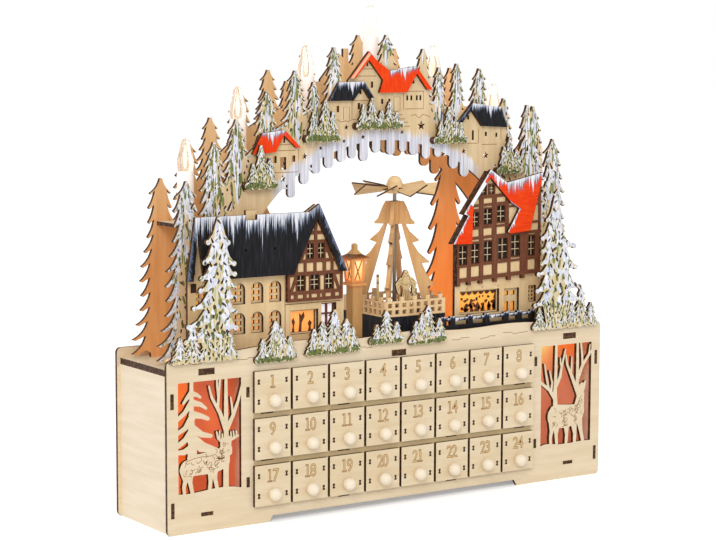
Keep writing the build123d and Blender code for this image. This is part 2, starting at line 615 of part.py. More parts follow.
def outward(x, z):
    """A point drawn on the arch's outer side, moved with the real outer edge."""
    reach = ARCH_OUTER_RADIUS - ARCH_DRAWN_OUTER
    turn = atan2(x, z - ARCH_CENTRE)
    return x + reach * sin(turn), z + reach * cos(turn)


def across(x, z):
    """A point drawn between the arch's edges, kept at its share of the real ring."""
    share = (hypot(x, z - ARCH_CENTRE) - ARCH_DRAWN_INNER) / (ARCH_DRAWN_OUTER - ARCH_DRAWN_INNER)
    radius = ARCH_INNER_RADIUS + share * (ARCH_OUTER_RADIUS - ARCH_INNER_RADIUS)
    turn = atan2(x, z - ARCH_CENTRE)
    return radius * sin(turn), ARCH_CENTRE + radius * cos(turn)


def on_arch(tree):
    """A fir moved with the arch; one that is rooted on the deck stays down there."""
    x, base, tip, spread, tiers = tree
    new_x, new_base = outward(x, base)
    low = new_base if base > 0 else 0
    return new_x, low, low + tip - base, spread, tiers


def arch_outline():
    """The arched board with its firs, house gables, drips and cut stars."""
    ring = Pos(0, ARCH_CENTRE) * Circle(ARCH_OUTER_RADIUS)
    ring -= Pos(ARCH_INNER_SHIFT, ARCH_CENTRE) * Circle(ARCH_INNER_RADIUS)
    ring -= rect(-ARCH_OUTER_RADIUS, ARCH_OUTER_RADIUS, -ARCH_OUTER_RADIUS, ARCH_CENTRE)
    legs = [rect(ARCH_INNER_SHIFT + ARCH_INNER_RADIUS, ARCH_OUTER_RADIUS, 0, ARCH_CENTRE),
            rect(-ARCH_OUTER_RADIUS, ARCH_INNER_SHIFT - ARCH_INNER_RADIUS, 0, ARCH_CENTRE)]
    drips = []
    for x, drawn_tip, width in ARCH_ICICLES:
        tip = drawn_tip + ARCH_INNER_RADIUS - ARCH_DRAWN_INNER
        root = ARCH_CENTRE + (ARCH_INNER_RADIUS**2 - (x - ARCH_INNER_SHIFT) ** 2) ** 0.5 + width
        drips.append(rect(x - width / 2, x + width / 2, tip + width / 2, root))
        drips.append(Pos(x, tip + width / 2) * Circle(width / 2))
    houses = [polygon([outward(*point) for point in points]) for points in ARCH_HOUSE_SHAPES]
    return joined([ring] + legs + houses + drips + [fir(*on_arch(tree)) for tree in ARCH_TREES])


def arch_cuts():
    cuts = [star(*across(x, z), radius) for x, z, radius in ARCH_STARS]
    cuts += [opening((*outward(x, z), w, h)) for x, z, w, h in ARCH_WINDOWS]
    cuts += [limb([outward(x0, z0), outward(x1, z1)], [2.0, 1.2]) for x0, z0, x1, z1 in TREE_SLITS]
    return cuts


def front_arch():
    arch = deck_board(arch_outline() - arch_cuts(), FRONT_Y + FRONT_ARCH_SETBACK)
    return arch + arch_tab_blocks(FRONT_ARCH_SETBACK)


def back_arch():
    chimney_x, chimney_low = outward(*CHIMNEY_CORNER)
    chimney = rect(chimney_x, chimney_x + CHIMNEY_WIDTH, chimney_low, chimney_low + CHIMNEY_HEIGHT)
    ground = [rect(tree[0] - tree[3], tree[0] + tree[3], 0, BACK_LEG_BANK) for tree in BACK_LEG_TREES]
    ground += [rect(-ARCH_INNER_RADIUS - BACK_LEG_BANK, -100, 0, BACK_LEG_BANK)]
    outline = joined([arch_outline(), chimney, firs(BACK_LEG_TREES)] + ground)
    arch = deck_board(outline, FRONT_Y + BACK_ARCH_SETBACK)
    return arch + arch_tab_blocks(BACK_ARCH_SETBACK)


def candle_places():
    """Centre x and tip height above the deck of each candle."""
    places = [outward(x, tip) for x, tip in CANDLES]
    return [(sign * x, tip) for x, tip in places for sign in ((1,) if x == 0 else (-1, 1))]


CANDLE_Y = FRONT_Y + CANDLE_SETBACK
BRIDGE_DROP = CANDLE_TIP + CANDLE_SLEEVE


def arch_bridges():
    """Small boards across both arches that carry the candles."""
    y0, y1 = FRONT_Y + FRONT_ARCH_SETBACK + PLY, FRONT_Y + BACK_ARCH_SETBACK
    half = BRIDGE_WIDTH / 2
    pieces = []
    for x, tip in candle_places():
        top = DECK_TOP + tip - BRIDGE_DROP
        pieces.append(block(x - half, x + half, y0, y1, top - PLY, top))
    return group(pieces)


def candle_sleeves():
    low = Align.MIN
    stick = Cylinder(CANDLE_DIAMETER / 2, CANDLE_SLEEVE, align=(Align.CENTER, Align.CENTER, low))
    return group([Pos(x, CANDLE_Y, DECK_TOP + tip - BRIDGE_DROP) * stick for x, tip in candle_places()])


def candle_tips():
    """Clear pointed bulbs: a swelling foot that draws in to a rounded point."""
    radius = CANDLE_DIAMETER / 2
    profile = make_face([
        Polyline((0, CANDLE_TIP), (0, 0), (radius * 0.9, 0)),
        Spline((radius * 0.9, 0), (radius, CANDLE_TIP * 0.3), (radius * 0.62, CANDLE_TIP * 0.75),
               (0, CANDLE_TIP), tangents=((0.3, 1), (-1, 0.15)))])
    bulb = revolve(Plane.XZ * profile, Axis.Z)
    return group([Pos(x, CANDLE_Y, DECK_TOP + tip - CANDLE_TIP) * bulb for x, tip in candle_places()])


# Roofs set on the front arch, heights above the deck
RED_ROOFS = (
    ((-120, 158), (-111, 174), (-90.5, 176), (-76, 162), (-80, 162), (-91.5, 172), (-99, 159)),
    ((-30.5, 215.5), (-12, 237), (-4, 229), (8, 221.5), (34, 225), (50, 206), (45, 206), (34.5, 219),
     (25, 204), (-2, 204), (1.5, 214), (-12, 230), (-25, 215.5)))
BLACK_ROOFS = (
    ((-50, 198), (-41, 212.5), (-16.5, 213), (-7, 200), (-11, 199), (-18, 208.5), (-27, 198)),
    ((75, 178), (91, 194.5), (121, 191), (127.5, 174), (101, 175.5), (90, 189), (79, 177)))
ARCH_SMALL_TREES = (
    ((-121, 131, 151, 6, 3), (-114, 131, 165, 8, 4), (-106, 131, 155, 7, 3)),
    ((-66, 166, 190, 7, 3), (-58, 166, 183, 7, 3), (-55, 166, 199, 8, 4), (-48, 166, 190, 6, 3)),
    ((-19, 175, 195, 6, 3), (-11, 175, 200, 7, 4), (-2, 175, 190, 6, 3), (6, 175, 197, 7, 4),
     (13, 175, 188, 6, 3)),
    ((57, 162, 180, 6, 3), (65, 162, 192, 8, 4), (72, 162, 184, 6, 3), (77, 162, 179, 6, 3)),
    ((122, 135, 158, 7, 3), (128, 135, 166, 7, 4), (135, 135, 155, 7, 3)))


def arch_roofs(outlines):
    y0 = FRONT_Y + FRONT_ARCH_SETBACK - ROOF_BOARD
    return group([deck_board(polygon([outward(*point) for point in points]), y0, ROOF_BOARD)
                  for points in outlines])


def bank(trees, height):
    """The low lobed strip of bushes that a clump of firs grows from."""
    xs = [tree[0] for tree in trees]
    low = trees[0][1]
    start, end = min(xs) - 1.5 * height, max(xs) + 1.5 * height
    count = round((end - start) / (1.6 * height))
    lobes = [Pos(start + n * (end - start) / count, low + height * (0.9 + 0.2 * (n % 2))) * Circle(height)
             for n in range(count + 1)]
    return joined(lobes + [rect(start, end, low + 0.5 * height, low + 1.4 * height)])


def arch_trees():
    """Clumps of firs that stand off the arch by the roofs' thickness, on a glued strip."""
    y0 = FRONT_Y + FRONT_ARCH_SETBACK - ROOF_BOARD
    pieces = []
    for trees in ARCH_SMALL_TREES:
        x, low = trees[len(trees) // 2][:2]
        new_x, new_low = outward(x, low)
        shift = Pos(new_x - x, new_low - low)
        strip = shift * bank(trees, BANK_HEIGHT)
        clump = deck_board(joined([shift * firs(trees), strip]), y0 - TREE_BOARD, TREE_BOARD)
        pieces.append(clump + deck_board(strip, y0, ROOF_BOARD))
    return group(pieces)


# Left house, heights above the deck
LEFT_ROOF = ((-187, 65), (-180, 113), (-136, 113), (-136, 109), (-126, 109), (-126, 113), (-79, 113),
             (-69.5, 119), (-43, 65), (-49.5, 65), (-71, 108), (-93, 65), (-172.5, 65), (-177, 102),
             (-181.5, 65))
LEFT_WALL = ((-183.5, 0), (-43.5, 0), (-43.5, 66), (-69.6, 118.4), (-79, 112.5), (-123, 112), (-123, 116),
             (-132.5, 116), (-132.5, 112), (-176, 112), (-183.5, 66))
LEFT_ARCHED_XS = (-171, -155, -138.8, -122.6, -106.4)
LEFT_ARCHED_ZS = (21, 44)
LEFT_ARCHED = (11, 16.5)
LEFT_SHOP = (-79.7, 17, 25.5, 19)
LEFT_DOOR = (-57, 6, 14, 34)
LEFT_GABLE = ((-97, 43), (-46, 43), (-46, 66), (-70.5, 111), (-95, 66), (-97, 66))
LEFT_GABLE_WINDOWS = ((-84.7, 51.5, 7, 12), (-72, 51.5, 8, 12), (-58.6, 51.5, 7, 12),
                      (-76, 76, 6, 12), (-66, 76, 6, 12))
LEFT_BEAM_ZS = ((42.5, 45.4), (48.4, 51), (62.6, 66), (73, 75.6), (88, 90.6), (95, 97.6))
LEFT_POSTS = ((-97, -94, 45, 49), (-91, -87.5, 45, 49), (-82.5, -79.4, 45, 49), (-77, -75, 45, 49),
              (-69.5, -67, 45, 49), (-65, -62, 45, 49), (-56.5, -53, 45, 49), (-49, -46, 45, 49),
              (-90, -87.5, 65, 74), (-82, -79.5, 65, 74), (-73, -70.4, 65, 74), (-64.5, -61.5, 65, 74),
              (-57, -54.5, 65, 74), (-90, -80, 80.5, 82.5), (-62, -50, 80.5, 82.5), (-72.4, -69.6, 74, 110))
LEFT_BRACES = (((-93.5, 51), (-88.5, 63.5)), ((-49.5, 51), (-54, 63.5)), ((-84, 76), (-80, 88)),
               ((-57, 76), (-62, 88)))

# Right house, heights above the deck
RIGHT_ROOF = ((97.5, 140.4), (114.5, 129), (153, 136.5), (149, 122), (139.5, 88), (118, 86.5), (116, 88),
              (128, 107), (119, 112.5), (97.5, 134), (80, 112), (79, 80), (60, 80.4), (75, 103.3),
              (70.5, 104.8))
RIGHT_WALL = ((66, 0), (153, 0), (153, 134), (133, 131), (114.3, 128), (97.5, 139), (71.5, 104.4),
              (76, 103), (60.8, 80.2), (66, 80))
RIGHT_SHOP = (91.5, 21, 41, 19.5)
RIGHT_DOOR = (125, 18, 16, 22)
RIGHT_SIDE_WINDOW = (147, 27, 8, 14)
RIGHT_WINDOWS = ((72, 62.5, 8.4, 16), (84.5, 63, 8.2, 16.5), (97.6, 64, 8.6, 17), (113, 65.5, 10, 17.5),
                 (126.4, 67, 9.6, 18), (143.5, 66.5, 7, 17), (84, 93.5, 8, 12), (97.2, 95, 8.4, 13),
                 (111, 96.5, 8.8, 13.5), (92.5, 119.5, 5, 7.5), (101, 120, 5, 7.5))
RIGHT_TIMBER = ((66, 48), (153, 52), (153, 134), (133, 131), (114.3, 128), (97.5, 139), (71.5, 104.4),
                (76, 103), (60.8, 80.2), (66, 80))
RIGHT_SLOPE = 0.045
RIGHT_BEAM_ZS = ((48, 51.3), (60, 62), (78.3, 80.4), (82, 84.4), (90.4, 92.4), (105.6, 107.2), (108.8, 111),
                 (115.2, 118))
RIGHT_POST_XS = ((66, 67.6), (76.4, 80.2), (88.8, 93), (102.2, 107.6), (118.4, 121.4), (131.4, 139.5),
                 (147.3, 153))
RIGHT_UPPER_POST_XS = ((79, 80), (88.2, 92.8), (101.6, 106.4), (115.6, 119))
RIGHT_INFILL_POST_XS = ((90, 91.5), (104.2, 105.6))
BEAM_END = (3.4, 3.0)
BEAM_END_XS = (66, 77, 89, 104, 118.5, 133)


def lean(x, z):
    """Height of a beam on the right house, whose lines rise a little to the right."""
    return z + RIGHT_SLOPE * (x - RIGHT_TIMBER[0][0])


def sloped(x0, x1, z0, z1):
    return polygon([(x0, lean(x0, z0)), (x1, lean(x1, z0)), (x1, lean(x1, z1)), (x0, lean(x0, z1))])


def framed(window, rim):
    x, z, w, h = window
    return rect(x - w / 2 - rim, x + w / 2 + rim, z - rim, z + h + rim)


def opening(window):
    x, z, w, h = window
    return rect(x - w / 2, x + w / 2, z, z + h)


WALL_Y = FRONT_Y + HOUSE_SETBACK + 2 * HOUSE_LAYER
TIMBER_Y = FRONT_Y + HOUSE_SETBACK + HOUSE_LAYER
ROOF_Y = FRONT_Y + HOUSE_SETBACK
TIMBER_RIM = 1.1
WINDOW_RECESS = 1.0
INFILL_RECESS = 0.8


def house_walls():
    left = polygon(LEFT_WALL) - [arched(x, z, *LEFT_ARCHED) for x in LEFT_ARCHED_XS for z in LEFT_ARCHED_ZS]
    left -= [opening(window) for window in (LEFT_SHOP, LEFT_DOOR)]
    right = polygon(RIGHT_WALL) - [opening(window) for window in (RIGHT_SHOP, RIGHT_DOOR, RIGHT_SIDE_WINDOW)]
    left_timbers, right_timbers = timber_outlines()
    walls = []
    for wall, face, timbers, windows in (
            (left, polygon(LEFT_GABLE), left_timbers, LEFT_GABLE_WINDOWS),
            (right, polygon(RIGHT_TIMBER), right_timbers, RIGHT_WINDOWS)):
        infill = face - timbers - [opening(window) for window in windows]
        filling = deck_board(infill, TIMBER_Y + INFILL_RECESS, HOUSE_LAYER - INFILL_RECESS)
        walls.append(deck_board(wall, WALL_Y, HOUSE_LAYER) + filling)
    return group(walls)


def timber_outlines():
    gable = polygon(LEFT_GABLE)
    bars = [rect(LEFT_GABLE[0][0], LEFT_GABLE[1][0], z0, z1) for z0, z1 in LEFT_BEAM_ZS]
    bars += [rect(*post) for post in LEFT_POSTS]
    bars += [limb(ends, [2.4, 2.4]) for ends in LEFT_BRACES]
    bars += [framed(window, TIMBER_RIM) for window in LEFT_GABLE_WINDOWS]
    edge = gable - offset(gable, -2.2)
    left = (gable & joined(bars)) + edge - [opening(window) for window in LEFT_GABLE_WINDOWS]

    face = polygon(RIGHT_TIMBER)
    right_edge = RIGHT_TIMBER[1][0]
    bars = [sloped(RIGHT_TIMBER[0][0], right_edge, z0, z1) for z0, z1 in RIGHT_BEAM_ZS]
    low, eave, top = RIGHT_BEAM_ZS[0][0], RIGHT_BEAM_ZS[3][1], RIGHT_BEAM_ZS[-1][1]
    bars += [sloped(x0, x1, low, eave) for x0, x1 in RIGHT_POST_XS]
    bars += [sloped(x0, x1, eave, top) for x0, x1 in RIGHT_UPPER_POST_XS]
    bars += [sloped(x0, x1, low, RIGHT_BEAM_ZS[1][0]) for x0, x1 in RIGHT_INFILL_POST_XS]
    bars += [framed(window, TIMBER_RIM) for window in RIGHT_WINDOWS]
    rim = face - offset(face, -2.5)
    ends = [rect(x, x + BEAM_END[0], lean(x, low) - BEAM_END[1], lean(x, low) + 1) for x in BEAM_END_XS]
    right = joined([(face & joined(bars)) + rim] + ends)
    right -= [opening(window) for window in RIGHT_WINDOWS]
    return left, right


def house_timbers():
    """Half-timber frames of both gables, cut from one board each."""
    return group([deck_board(outline, TIMBER_Y, HOUSE_LAYER) for outline in timber_outlines()])


def left_house_roof():
    vents = [Pos(x, 86) * Circle(1.2) for x in (-136, -110)]
    return deck_board(polygon(LEFT_ROOF) - vents, ROOF_Y, HOUSE_LAYER)


def right_house_roof():
    return deck_board(polygon(RIGHT_ROOF), ROOF_Y, HOUSE_LAYER)


def house_windows():
    """Barred boards behind the walls' openings, and small barred frames let into the half-timbering."""
    rim, bar, slim_bar = 3.0, 1.8, 0.55
    width, height = LEFT_ARCHED
    behind = []
    for z in LEFT_ARCHED_ZS:
        strip = rect(LEFT_ARCHED_XS[0] - width / 2 - rim, LEFT_ARCHED_XS[-1] + width / 2 + rim,
                     z - rim, z + height + rim)
        behind.append(strip - [pane for x in LEFT_ARCHED_XS for pane in panes(x, z, width, height, 2, 3, bar)])
    for window, columns, rows in ((LEFT_SHOP, 1, 1), (LEFT_DOOR, 2, 4), (RIGHT_SHOP, 1, 1),
                                  (RIGHT_SIDE_WINDOW, 2, 4)):
        behind.append(framed(window, rim / 2) - panes(*window, columns, rows, bar / 1.5))
    x, z, w, h = RIGHT_DOOR
    door_panes = panes(x, z, w, 0.6 * h, 2, 1, 1.4 * bar) + panes(x, z + 0.6 * h, w, 0.4 * h, 2, 1, 1.4 * bar)
    behind.append(framed(RIGHT_DOOR, rim / 2) - door_panes)
    pieces = [deck_board(outline, WALL_Y + HOUSE_LAYER, WINDOW_LAYER) for outline in behind]
    for window in LEFT_GABLE_WINDOWS + RIGHT_WINDOWS:
        frame = opening(window) - panes(*window, 2, 3, slim_bar)
        pieces.append(deck_board(frame, TIMBER_Y + WINDOW_RECESS, HOUSE_LAYER - WINDOW_RECESS))
    return group(pieces)


def village_fence():
    """Low black fence before the right house."""
    x0, x1, top = 45, 152, 22
    posts = (48, 57, 75, 92, 112, 126, 140, 150)
    rails = [rect(x0, x1, 0, 14.5), rect(x0, x1, 18, 20.5)]
    pickets = [rect(x - 2.6, x + 2.6, 0, top) for x in posts]
    return deck_board(joined(rails + pickets), FRONT_Y + FENCE_SETBACK)


# Trees glued on the front panel, heights above the floor line of the panel's top edge
BIG_FIRS = (
    (-166, -3, 106, ((11, 87), (14, 72), (16.5, 60), (17.5, 51), (23, 38), (28, 24.5), (30, 13)),
     ((9, 86), (14, 70), (14.5, 62), (14.5, 53), (14.5, 44), (15, 34), (15.5, 21))),
    (157, -3, 109, ((10, 89), (15, 74), (15, 63), (15.5, 53), (19, 44), (20, 30), (22, 18)),
     ((9, 83), (22, 66), (24, 48), (29, 31), (32, 20))))
BIG_FIR_SLITS = ((-168, -3, 106, 24, 8), (160, -3, 109, 26, 8))
FOOT_TREES = (
    ((-200, -3, 17, 8, 4), (-189, -3, 25, 9, 5), (-177, -3, 15, 8, 4), (-157, -3, 17, 8, 4)),
    ((141, -3, 16, 7, 4), (176, -3, 18, 8, 4), (186, -3, 30, 9, 6), (197, -3, 17, 8, 4)))
SMALL_TREES = (
    ((-128, -8, 11, 7, 4), (-117, -8, 24, 11, 6), (-112, -8, 18, 10, 5), (-104, -8, 11, 7, 4)),
    ((-82, -6, 15, 8, 4), (-74, -6, 20, 9, 5), (-63, -6, 29, 11, 7), (-52, -6, 21, 9, 5), (-46, -6, 14, 7, 4)),
    ((-23, -2, 14, 6, 4), (-14, -2, 25, 9, 6), (-4, -2, 15, 7, 4)),
    ((15, -5, 14, 7, 4), (21, -5, 20, 8, 5), (27, -5, 26, 10, 6), (38, -5, 15, 8, 4)))


def front_trees():
    pieces = []
    for big, slits, small in zip(BIG_FIRS, BIG_FIR_SLITS, FOOT_TREES):
        clump = joined([snowy_fir(*big), firs(small), bank(small, BANK_HEIGHT)]) - fir_slits(*slits)
        pieces.append(clump)
    for trees in SMALL_TREES:
        tallest = max(trees, key=lambda tree: tree[2])
        pieces.append(joined([firs(trees), bank(trees, BANK_HEIGHT)]) - fir_slits(*tallest))
    return group([board(Pos(0, PANEL_HEIGHT) * clump, FRONT_Y - TREE_BOARD, TREE_BOARD) for clump in pieces])


def pyramid_base():
    """A black box of four skirts under a top board with the spindle's pivot hole."""
    half = PYRAMID_SIDE / 2
    under = BASE_TOP - PLY
    x0, x1, y0, y1 = PYRAMID_X - half, PYRAMID_X + half, PYRAMID_Y - half, PYRAMID_Y + half
    top = block(x0, x1, y0, y1, under, BASE_TOP)
    pivot = Pos(PYRAMID_X, PYRAMID_Y, BASE_TOP - PIVOT_DEPTH / 2)
    top -= pivot * Cylinder(SPINDLE_DIAMETER / 2 + SPINDLE_CLEARANCE, PIVOT_DEPTH)
    return group([
        top,
        block(x0, x1, y0, y0 + PLY, DECK_TOP, under), block(x0, x1, y1 - PLY, y1, DECK_TOP, under),
        block(x0, x0 + PLY, y0 + PLY, y1 - PLY, DECK_TOP, under),
        block(x1 - PLY, x1, y0 + PLY, y1 - PLY, DECK_TOP, under)])


def pyramid_fence():
    """Four little fence boards along the base's edges, pierced in two rows and topped with posts."""
    half, side = PYRAMID_SIDE / 2, PYRAMID_FENCE_BOARD
    count = 8
    post_width, post_rise = 3.6, 3.4
    pieces = []
    for turn in range(4):
        length = PYRAMID_SIDE if turn % 2 == 0 else PYRAMID_SIDE - 2 * side
        pitch = (length - 4) / count
        fence = rect(-length / 2, length / 2, 0, PYRAMID_FENCE_HEIGHT - post_rise)
        post_xs = [(n - 2) * 1.8 * pitch for n in range(5)]
        fence += [rect(x - post_width / 2, x + post_width / 2, 1, PYRAMID_FENCE_HEIGHT) for x in post_xs]
        holes = [rect((n - count / 2 + 0.22) * pitch, (n - count / 2 + 0.78) * pitch, low, low + 3.4)
                 for n in range(count) for low in (2, 7.4)]
        plank = board(fence - holes, -half, side)
        pieces.append(Pos(PYRAMID_X, PYRAMID_Y, BASE_TOP) * Rot(0, 0, 90 * turn) * plank)
    return group(pieces)


def fin_outline():
    """Half of the tree-shaped frame, from the bell at its top to a wide foot; x runs out from the axis."""
    inner = BOSS_SIDE / 2
    foot = FIN_TOP - PYRAMID_BASE_HEIGHT
    return polygon([
        (inner, foot), (7.4, foot), (9.6, foot - 4), (11.6, foot - 9), (13.4, foot - 14), (16.6, foot - 17.4),
        (16.2, foot - 18.6), (8.8, foot - 18.6), (12.6, foot - 25), (20.6, foot - 32), (14.6, foot - 34),
        (20, foot - 42), (29.2, foot - 49.6), (22.5, foot - 50.5), (27, foot - 60), (33, foot - 68),
        (27.6, foot - 69.3), (31, foot - 80), (33.5, 0), (26, 0), (6.2, foot - BOSS_HEIGHT),
        (inner, foot - BOSS_HEIGHT)])


def pyramid_fins():
    """Four fins on the diagonals round a square bearing block."""
    plank = board(fin_outline(), -FIN_BOARD / 2, FIN_BOARD)
    place = Pos(PYRAMID_X, PYRAMID_Y, BASE_TOP)
    pieces = [place * Rot(0, 0, 45 + 90 * turn) * plank for turn in range(4)]
    rise = FIN_TOP - PYRAMID_BASE_HEIGHT - BOSS_HEIGHT / 2
    bore = Cylinder(SPINDLE_DIAMETER / 2 + SPINDLE_CLEARANCE, BOSS_HEIGHT)
    boss = Box(BOSS_SIDE, BOSS_SIDE, BOSS_HEIGHT) - bore
    pieces.append(place * Rot(0, 0, 45) * Pos(0, 0, rise) * boss)
    return group(pieces)


def pyramid_figures():
    """A winged angel in front, and a candle bearer at the left that stands edge on to the front."""
    gown = polygon([(-7, 0), (7, 0), (5, 9), (2.6, 22), (-2.6, 22), (-5, 9)])
    wings = joined([limb([(0, 20), (s * 5, 27), (s * 8.4, 24), (s * 7, 17)], [5, 5, 4, 2.4]) for s in (-1, 1)])
    head = joined([Pos(0, 29) * Circle(4.2), Pos(0, 33) * Circle(2.6)])
    lamp = limb([(2, 15), (6.4, 12), (8.4, 15.4)], [3, 2.2, 2.2])
    angel = joined([gown, wings, head, lamp])
    bearer = joined([polygon([(-4, 0), (4, 0), (2.4, 24), (-2.4, 24)]), Pos(0, 27) * Circle(3.6),
                     limb([(0, 20), (5, 22), (5, 30)], [2.4, 2, 1.4])])
    angel_y, bearer_x = PYRAMID_Y - PYRAMID_SIDE * 0.27, PYRAMID_X - PYRAMID_SIDE * 0.27
    return group([Pos(PYRAMID_X, angel_y, BASE_TOP) * board(angel, -1, 2),
                  Pos(bearer_x, PYRAMID_Y, BASE_TOP) * Rot(0, 0, 57) * board(bearer, -1, 2)])


SPINDLE_FOOT = BASE_TOP - PIVOT_DEPTH
HUB_BOTTOM = DECK_TOP + FIN_TOP + HUB_LIFT


def rotor_spindle():
    length = HUB_BOTTOM - SPINDLE_FOOT
    return Pos(PYRAMID_X, PYRAMID_Y, SPINDLE_FOOT + length / 2) * Cylinder(SPINDLE_DIAMETER / 2, length)


def rotor_wheel():
    """An eight-sided hub with a domed top, and tilted blades on square stems."""
    flat = HUB_ACROSS / 2
    hub = extrude(RegularPolygon(flat, BLADES, major_radius=False, rotation=180 / BLADES), HUB_HEIGHT)
    dome = Pos(0, 0, HUB_HEIGHT) * Sphere(flat * 0.95)
    hub += dome - block(-flat, flat, -flat, flat, HUB_HEIGHT - flat, HUB_HEIGHT)
    stem_end = flat + 5
    root, tip = stem_end - 2, BLADE_TIP_RADIUS * 0.96
    vane = polygon([(root, -BLADE_ROOT_WIDTH / 2), (tip, -BLADE_TIP_WIDTH / 2),
                    (tip, BLADE_TIP_WIDTH / 2), (root, BLADE_ROOT_WIDTH / 2)])
    blade = extrude(vane, BLADE_THICKNESS / 2, both=True)
    blade = Rot(BLADE_TILT, 0, 0) * blade + block(flat, stem_end, -BLADE_STEM / 2, BLADE_STEM / 2,
                                                  -BLADE_STEM / 2, BLADE_STEM / 2)
    place = Pos(PYRAMID_X, PYRAMID_Y, HUB_BOTTOM)
    pieces = [place * hub]
    for n in range(BLADES):
        pieces.append(place * Rot(0, 0, 360 / BLADES * n) * Pos(0, 0, HUB_HEIGHT / 2) * blade)
    return group(pieces)


LANTERN_Y = FRONT_Y + LANTERN_SETBACK
LANTERN_GLASS = LANTERN_HEAD - 5.0


def frustum(low_side, high_side, height):
    return loft([Rectangle(low_side, low_side), Pos(0, 0, height) * Rectangle(high_side, high_side)])


def lantern():
    """A square post, an open four-sided head that widens upwards, and a hollow hipped cap."""
    plate, cap_height, finial = 2.0, 6.5, 4.7
    place = Pos(LANTERN_X, LANTERN_Y, DECK_TOP)
    half = LANTERN_POST / 2
    post = block(-half, half, -half, half, 0, LANTERN_POST_HEIGHT)
    post += block(-half - 2, half + 2, -half - 2, half + 2, 0, 6)
    tray = block(-LANTERN_HEAD / 2, LANTERN_HEAD / 2, -LANTERN_HEAD / 2, LANTERN_HEAD / 2, 0, plate)
    cage = frustum(LANTERN_HEAD - 3, LANTERN_HEAD, LANTERN_HEAD_HEIGHT - plate)
    cage -= frustum(LANTERN_GLASS, LANTERN_HEAD - 2, LANTERN_HEAD_HEIGHT - plate)
    opening_w, opening_h = LANTERN_HEAD * 0.58, LANTERN_HEAD_HEIGHT - plate - 4
    tall = Pos(0, 0, (LANTERN_HEAD_HEIGHT - plate) / 2)
    cage -= tall * Box(LANTERN_HEAD * 2, opening_w, opening_h)
    cage -= tall * Box(opening_w, LANTERN_HEAD * 2, opening_h)
    eave, waist, neck = LANTERN_HEAD + 4, LANTERN_HEAD * 0.62, 3.6
    cap = frustum(eave, waist, cap_height * 0.45)
    cap += Pos(0, 0, cap_height * 0.45) * frustum(waist, neck, cap_height * 0.55)
    cap += Pos(0, 0, cap_height) * frustum(neck, neck, finial - 1)
    cap += Pos(0, 0, cap_height + finial - 1) * frustum(neck, neck / 2, 1)
    head_z = LANTERN_POST_HEIGHT
    return group([place * post, place * Pos(0, 0, head_z) * tray, place * Pos(0, 0, head_z + plate) * cage,
                  place * Pos(0, 0, head_z + LANTERN_HEAD_HEIGHT) * cap])


def battery_case():
    """An open plastic tray behind the back panel, and the switch's housing."""
    half_w, half_h = CASE_WIDTH / 2, CASE_HEIGHT / 2
    deep_y = INNER_BACK - CASE_DEPTH
    case = block(CASE_X - half_w, CASE_X + half_w, deep_y, INNER_BACK, CASE_Z - half_h, CASE_Z + half_h)
    in_w, in_h = half_w - CASE_WALL, half_h - CASE_WALL
    case -= block(CASE_X - in_w, CASE_X + in_w, deep_y + CASE_FLOOR, INNER_BACK, CASE_Z - in_h, CASE_Z + in_h)
    rim = 2.0
    reach = (SWITCH_FLANGE + SWITCH_TRAVEL) / 2 + SWITCH_CLEARANCE
    tall = SWITCH_KNOB / 2 + 1 + SWITCH_CLEARANCE
    deep = SWITCH_FLANGE_DEPTH + SWITCH_CLEARANCE
    housing = block(SWITCH_X - reach - rim, SWITCH_X + reach + rim, INNER_BACK - deep - rim, INNER_BACK,
                    CASE_Z - tall - rim, CASE_Z + tall + rim)
    housing -= block(SWITCH_X - reach, SWITCH_X + reach, INNER_BACK - deep, INNER_BACK,
                     CASE_Z - tall, CASE_Z + tall)
    return group([case, housing])


def switch_slider():
    """A flanged slider, at rest at the left end of its slot."""
    x = SWITCH_X - SWITCH_TRAVEL / 2
    half, tall = SWITCH_KNOB / 2, SWITCH_KNOB / 2 + 1
    flange = block(x - SWITCH_FLANGE / 2, x + SWITCH_FLANGE / 2, INNER_BACK - SWITCH_FLANGE_DEPTH,
                   INNER_BACK, CASE_Z - tall, CASE_Z + tall)
    return flange + block(x - half, x + half, INNER_BACK, BACK_Y, CASE_Z - half, CASE_Z + half)


def battery_cells():
    pitch = CELL_DIAMETER + CELL_GAP
    y = INNER_BACK - CASE_DEPTH + CASE_FLOOR + CELL_DIAMETER / 2 + CELL_GAP
    return group([Pos(CASE_X, y, CASE_Z + (n - (CELLS - 1) / 2) * pitch) * Rot(0, 90, 0)
                  * Cylinder(CELL_DIAMETER / 2, CELL_LENGTH) for n in range(CELLS)])


def battery_cover():
    half_w = CASE_WIDTH / 2 - CASE_WALL + COVER_SEAT - COVER_CLEARANCE
    half_h = CASE_HEIGHT / 2 - CASE_WALL + COVER_SEAT - COVER_CLEARANCE
    return block(CASE_X - half_w, CASE_X + half_w, INNER_BACK, BACK_Y, CASE_Z - half_h, CASE_Z + half_h)


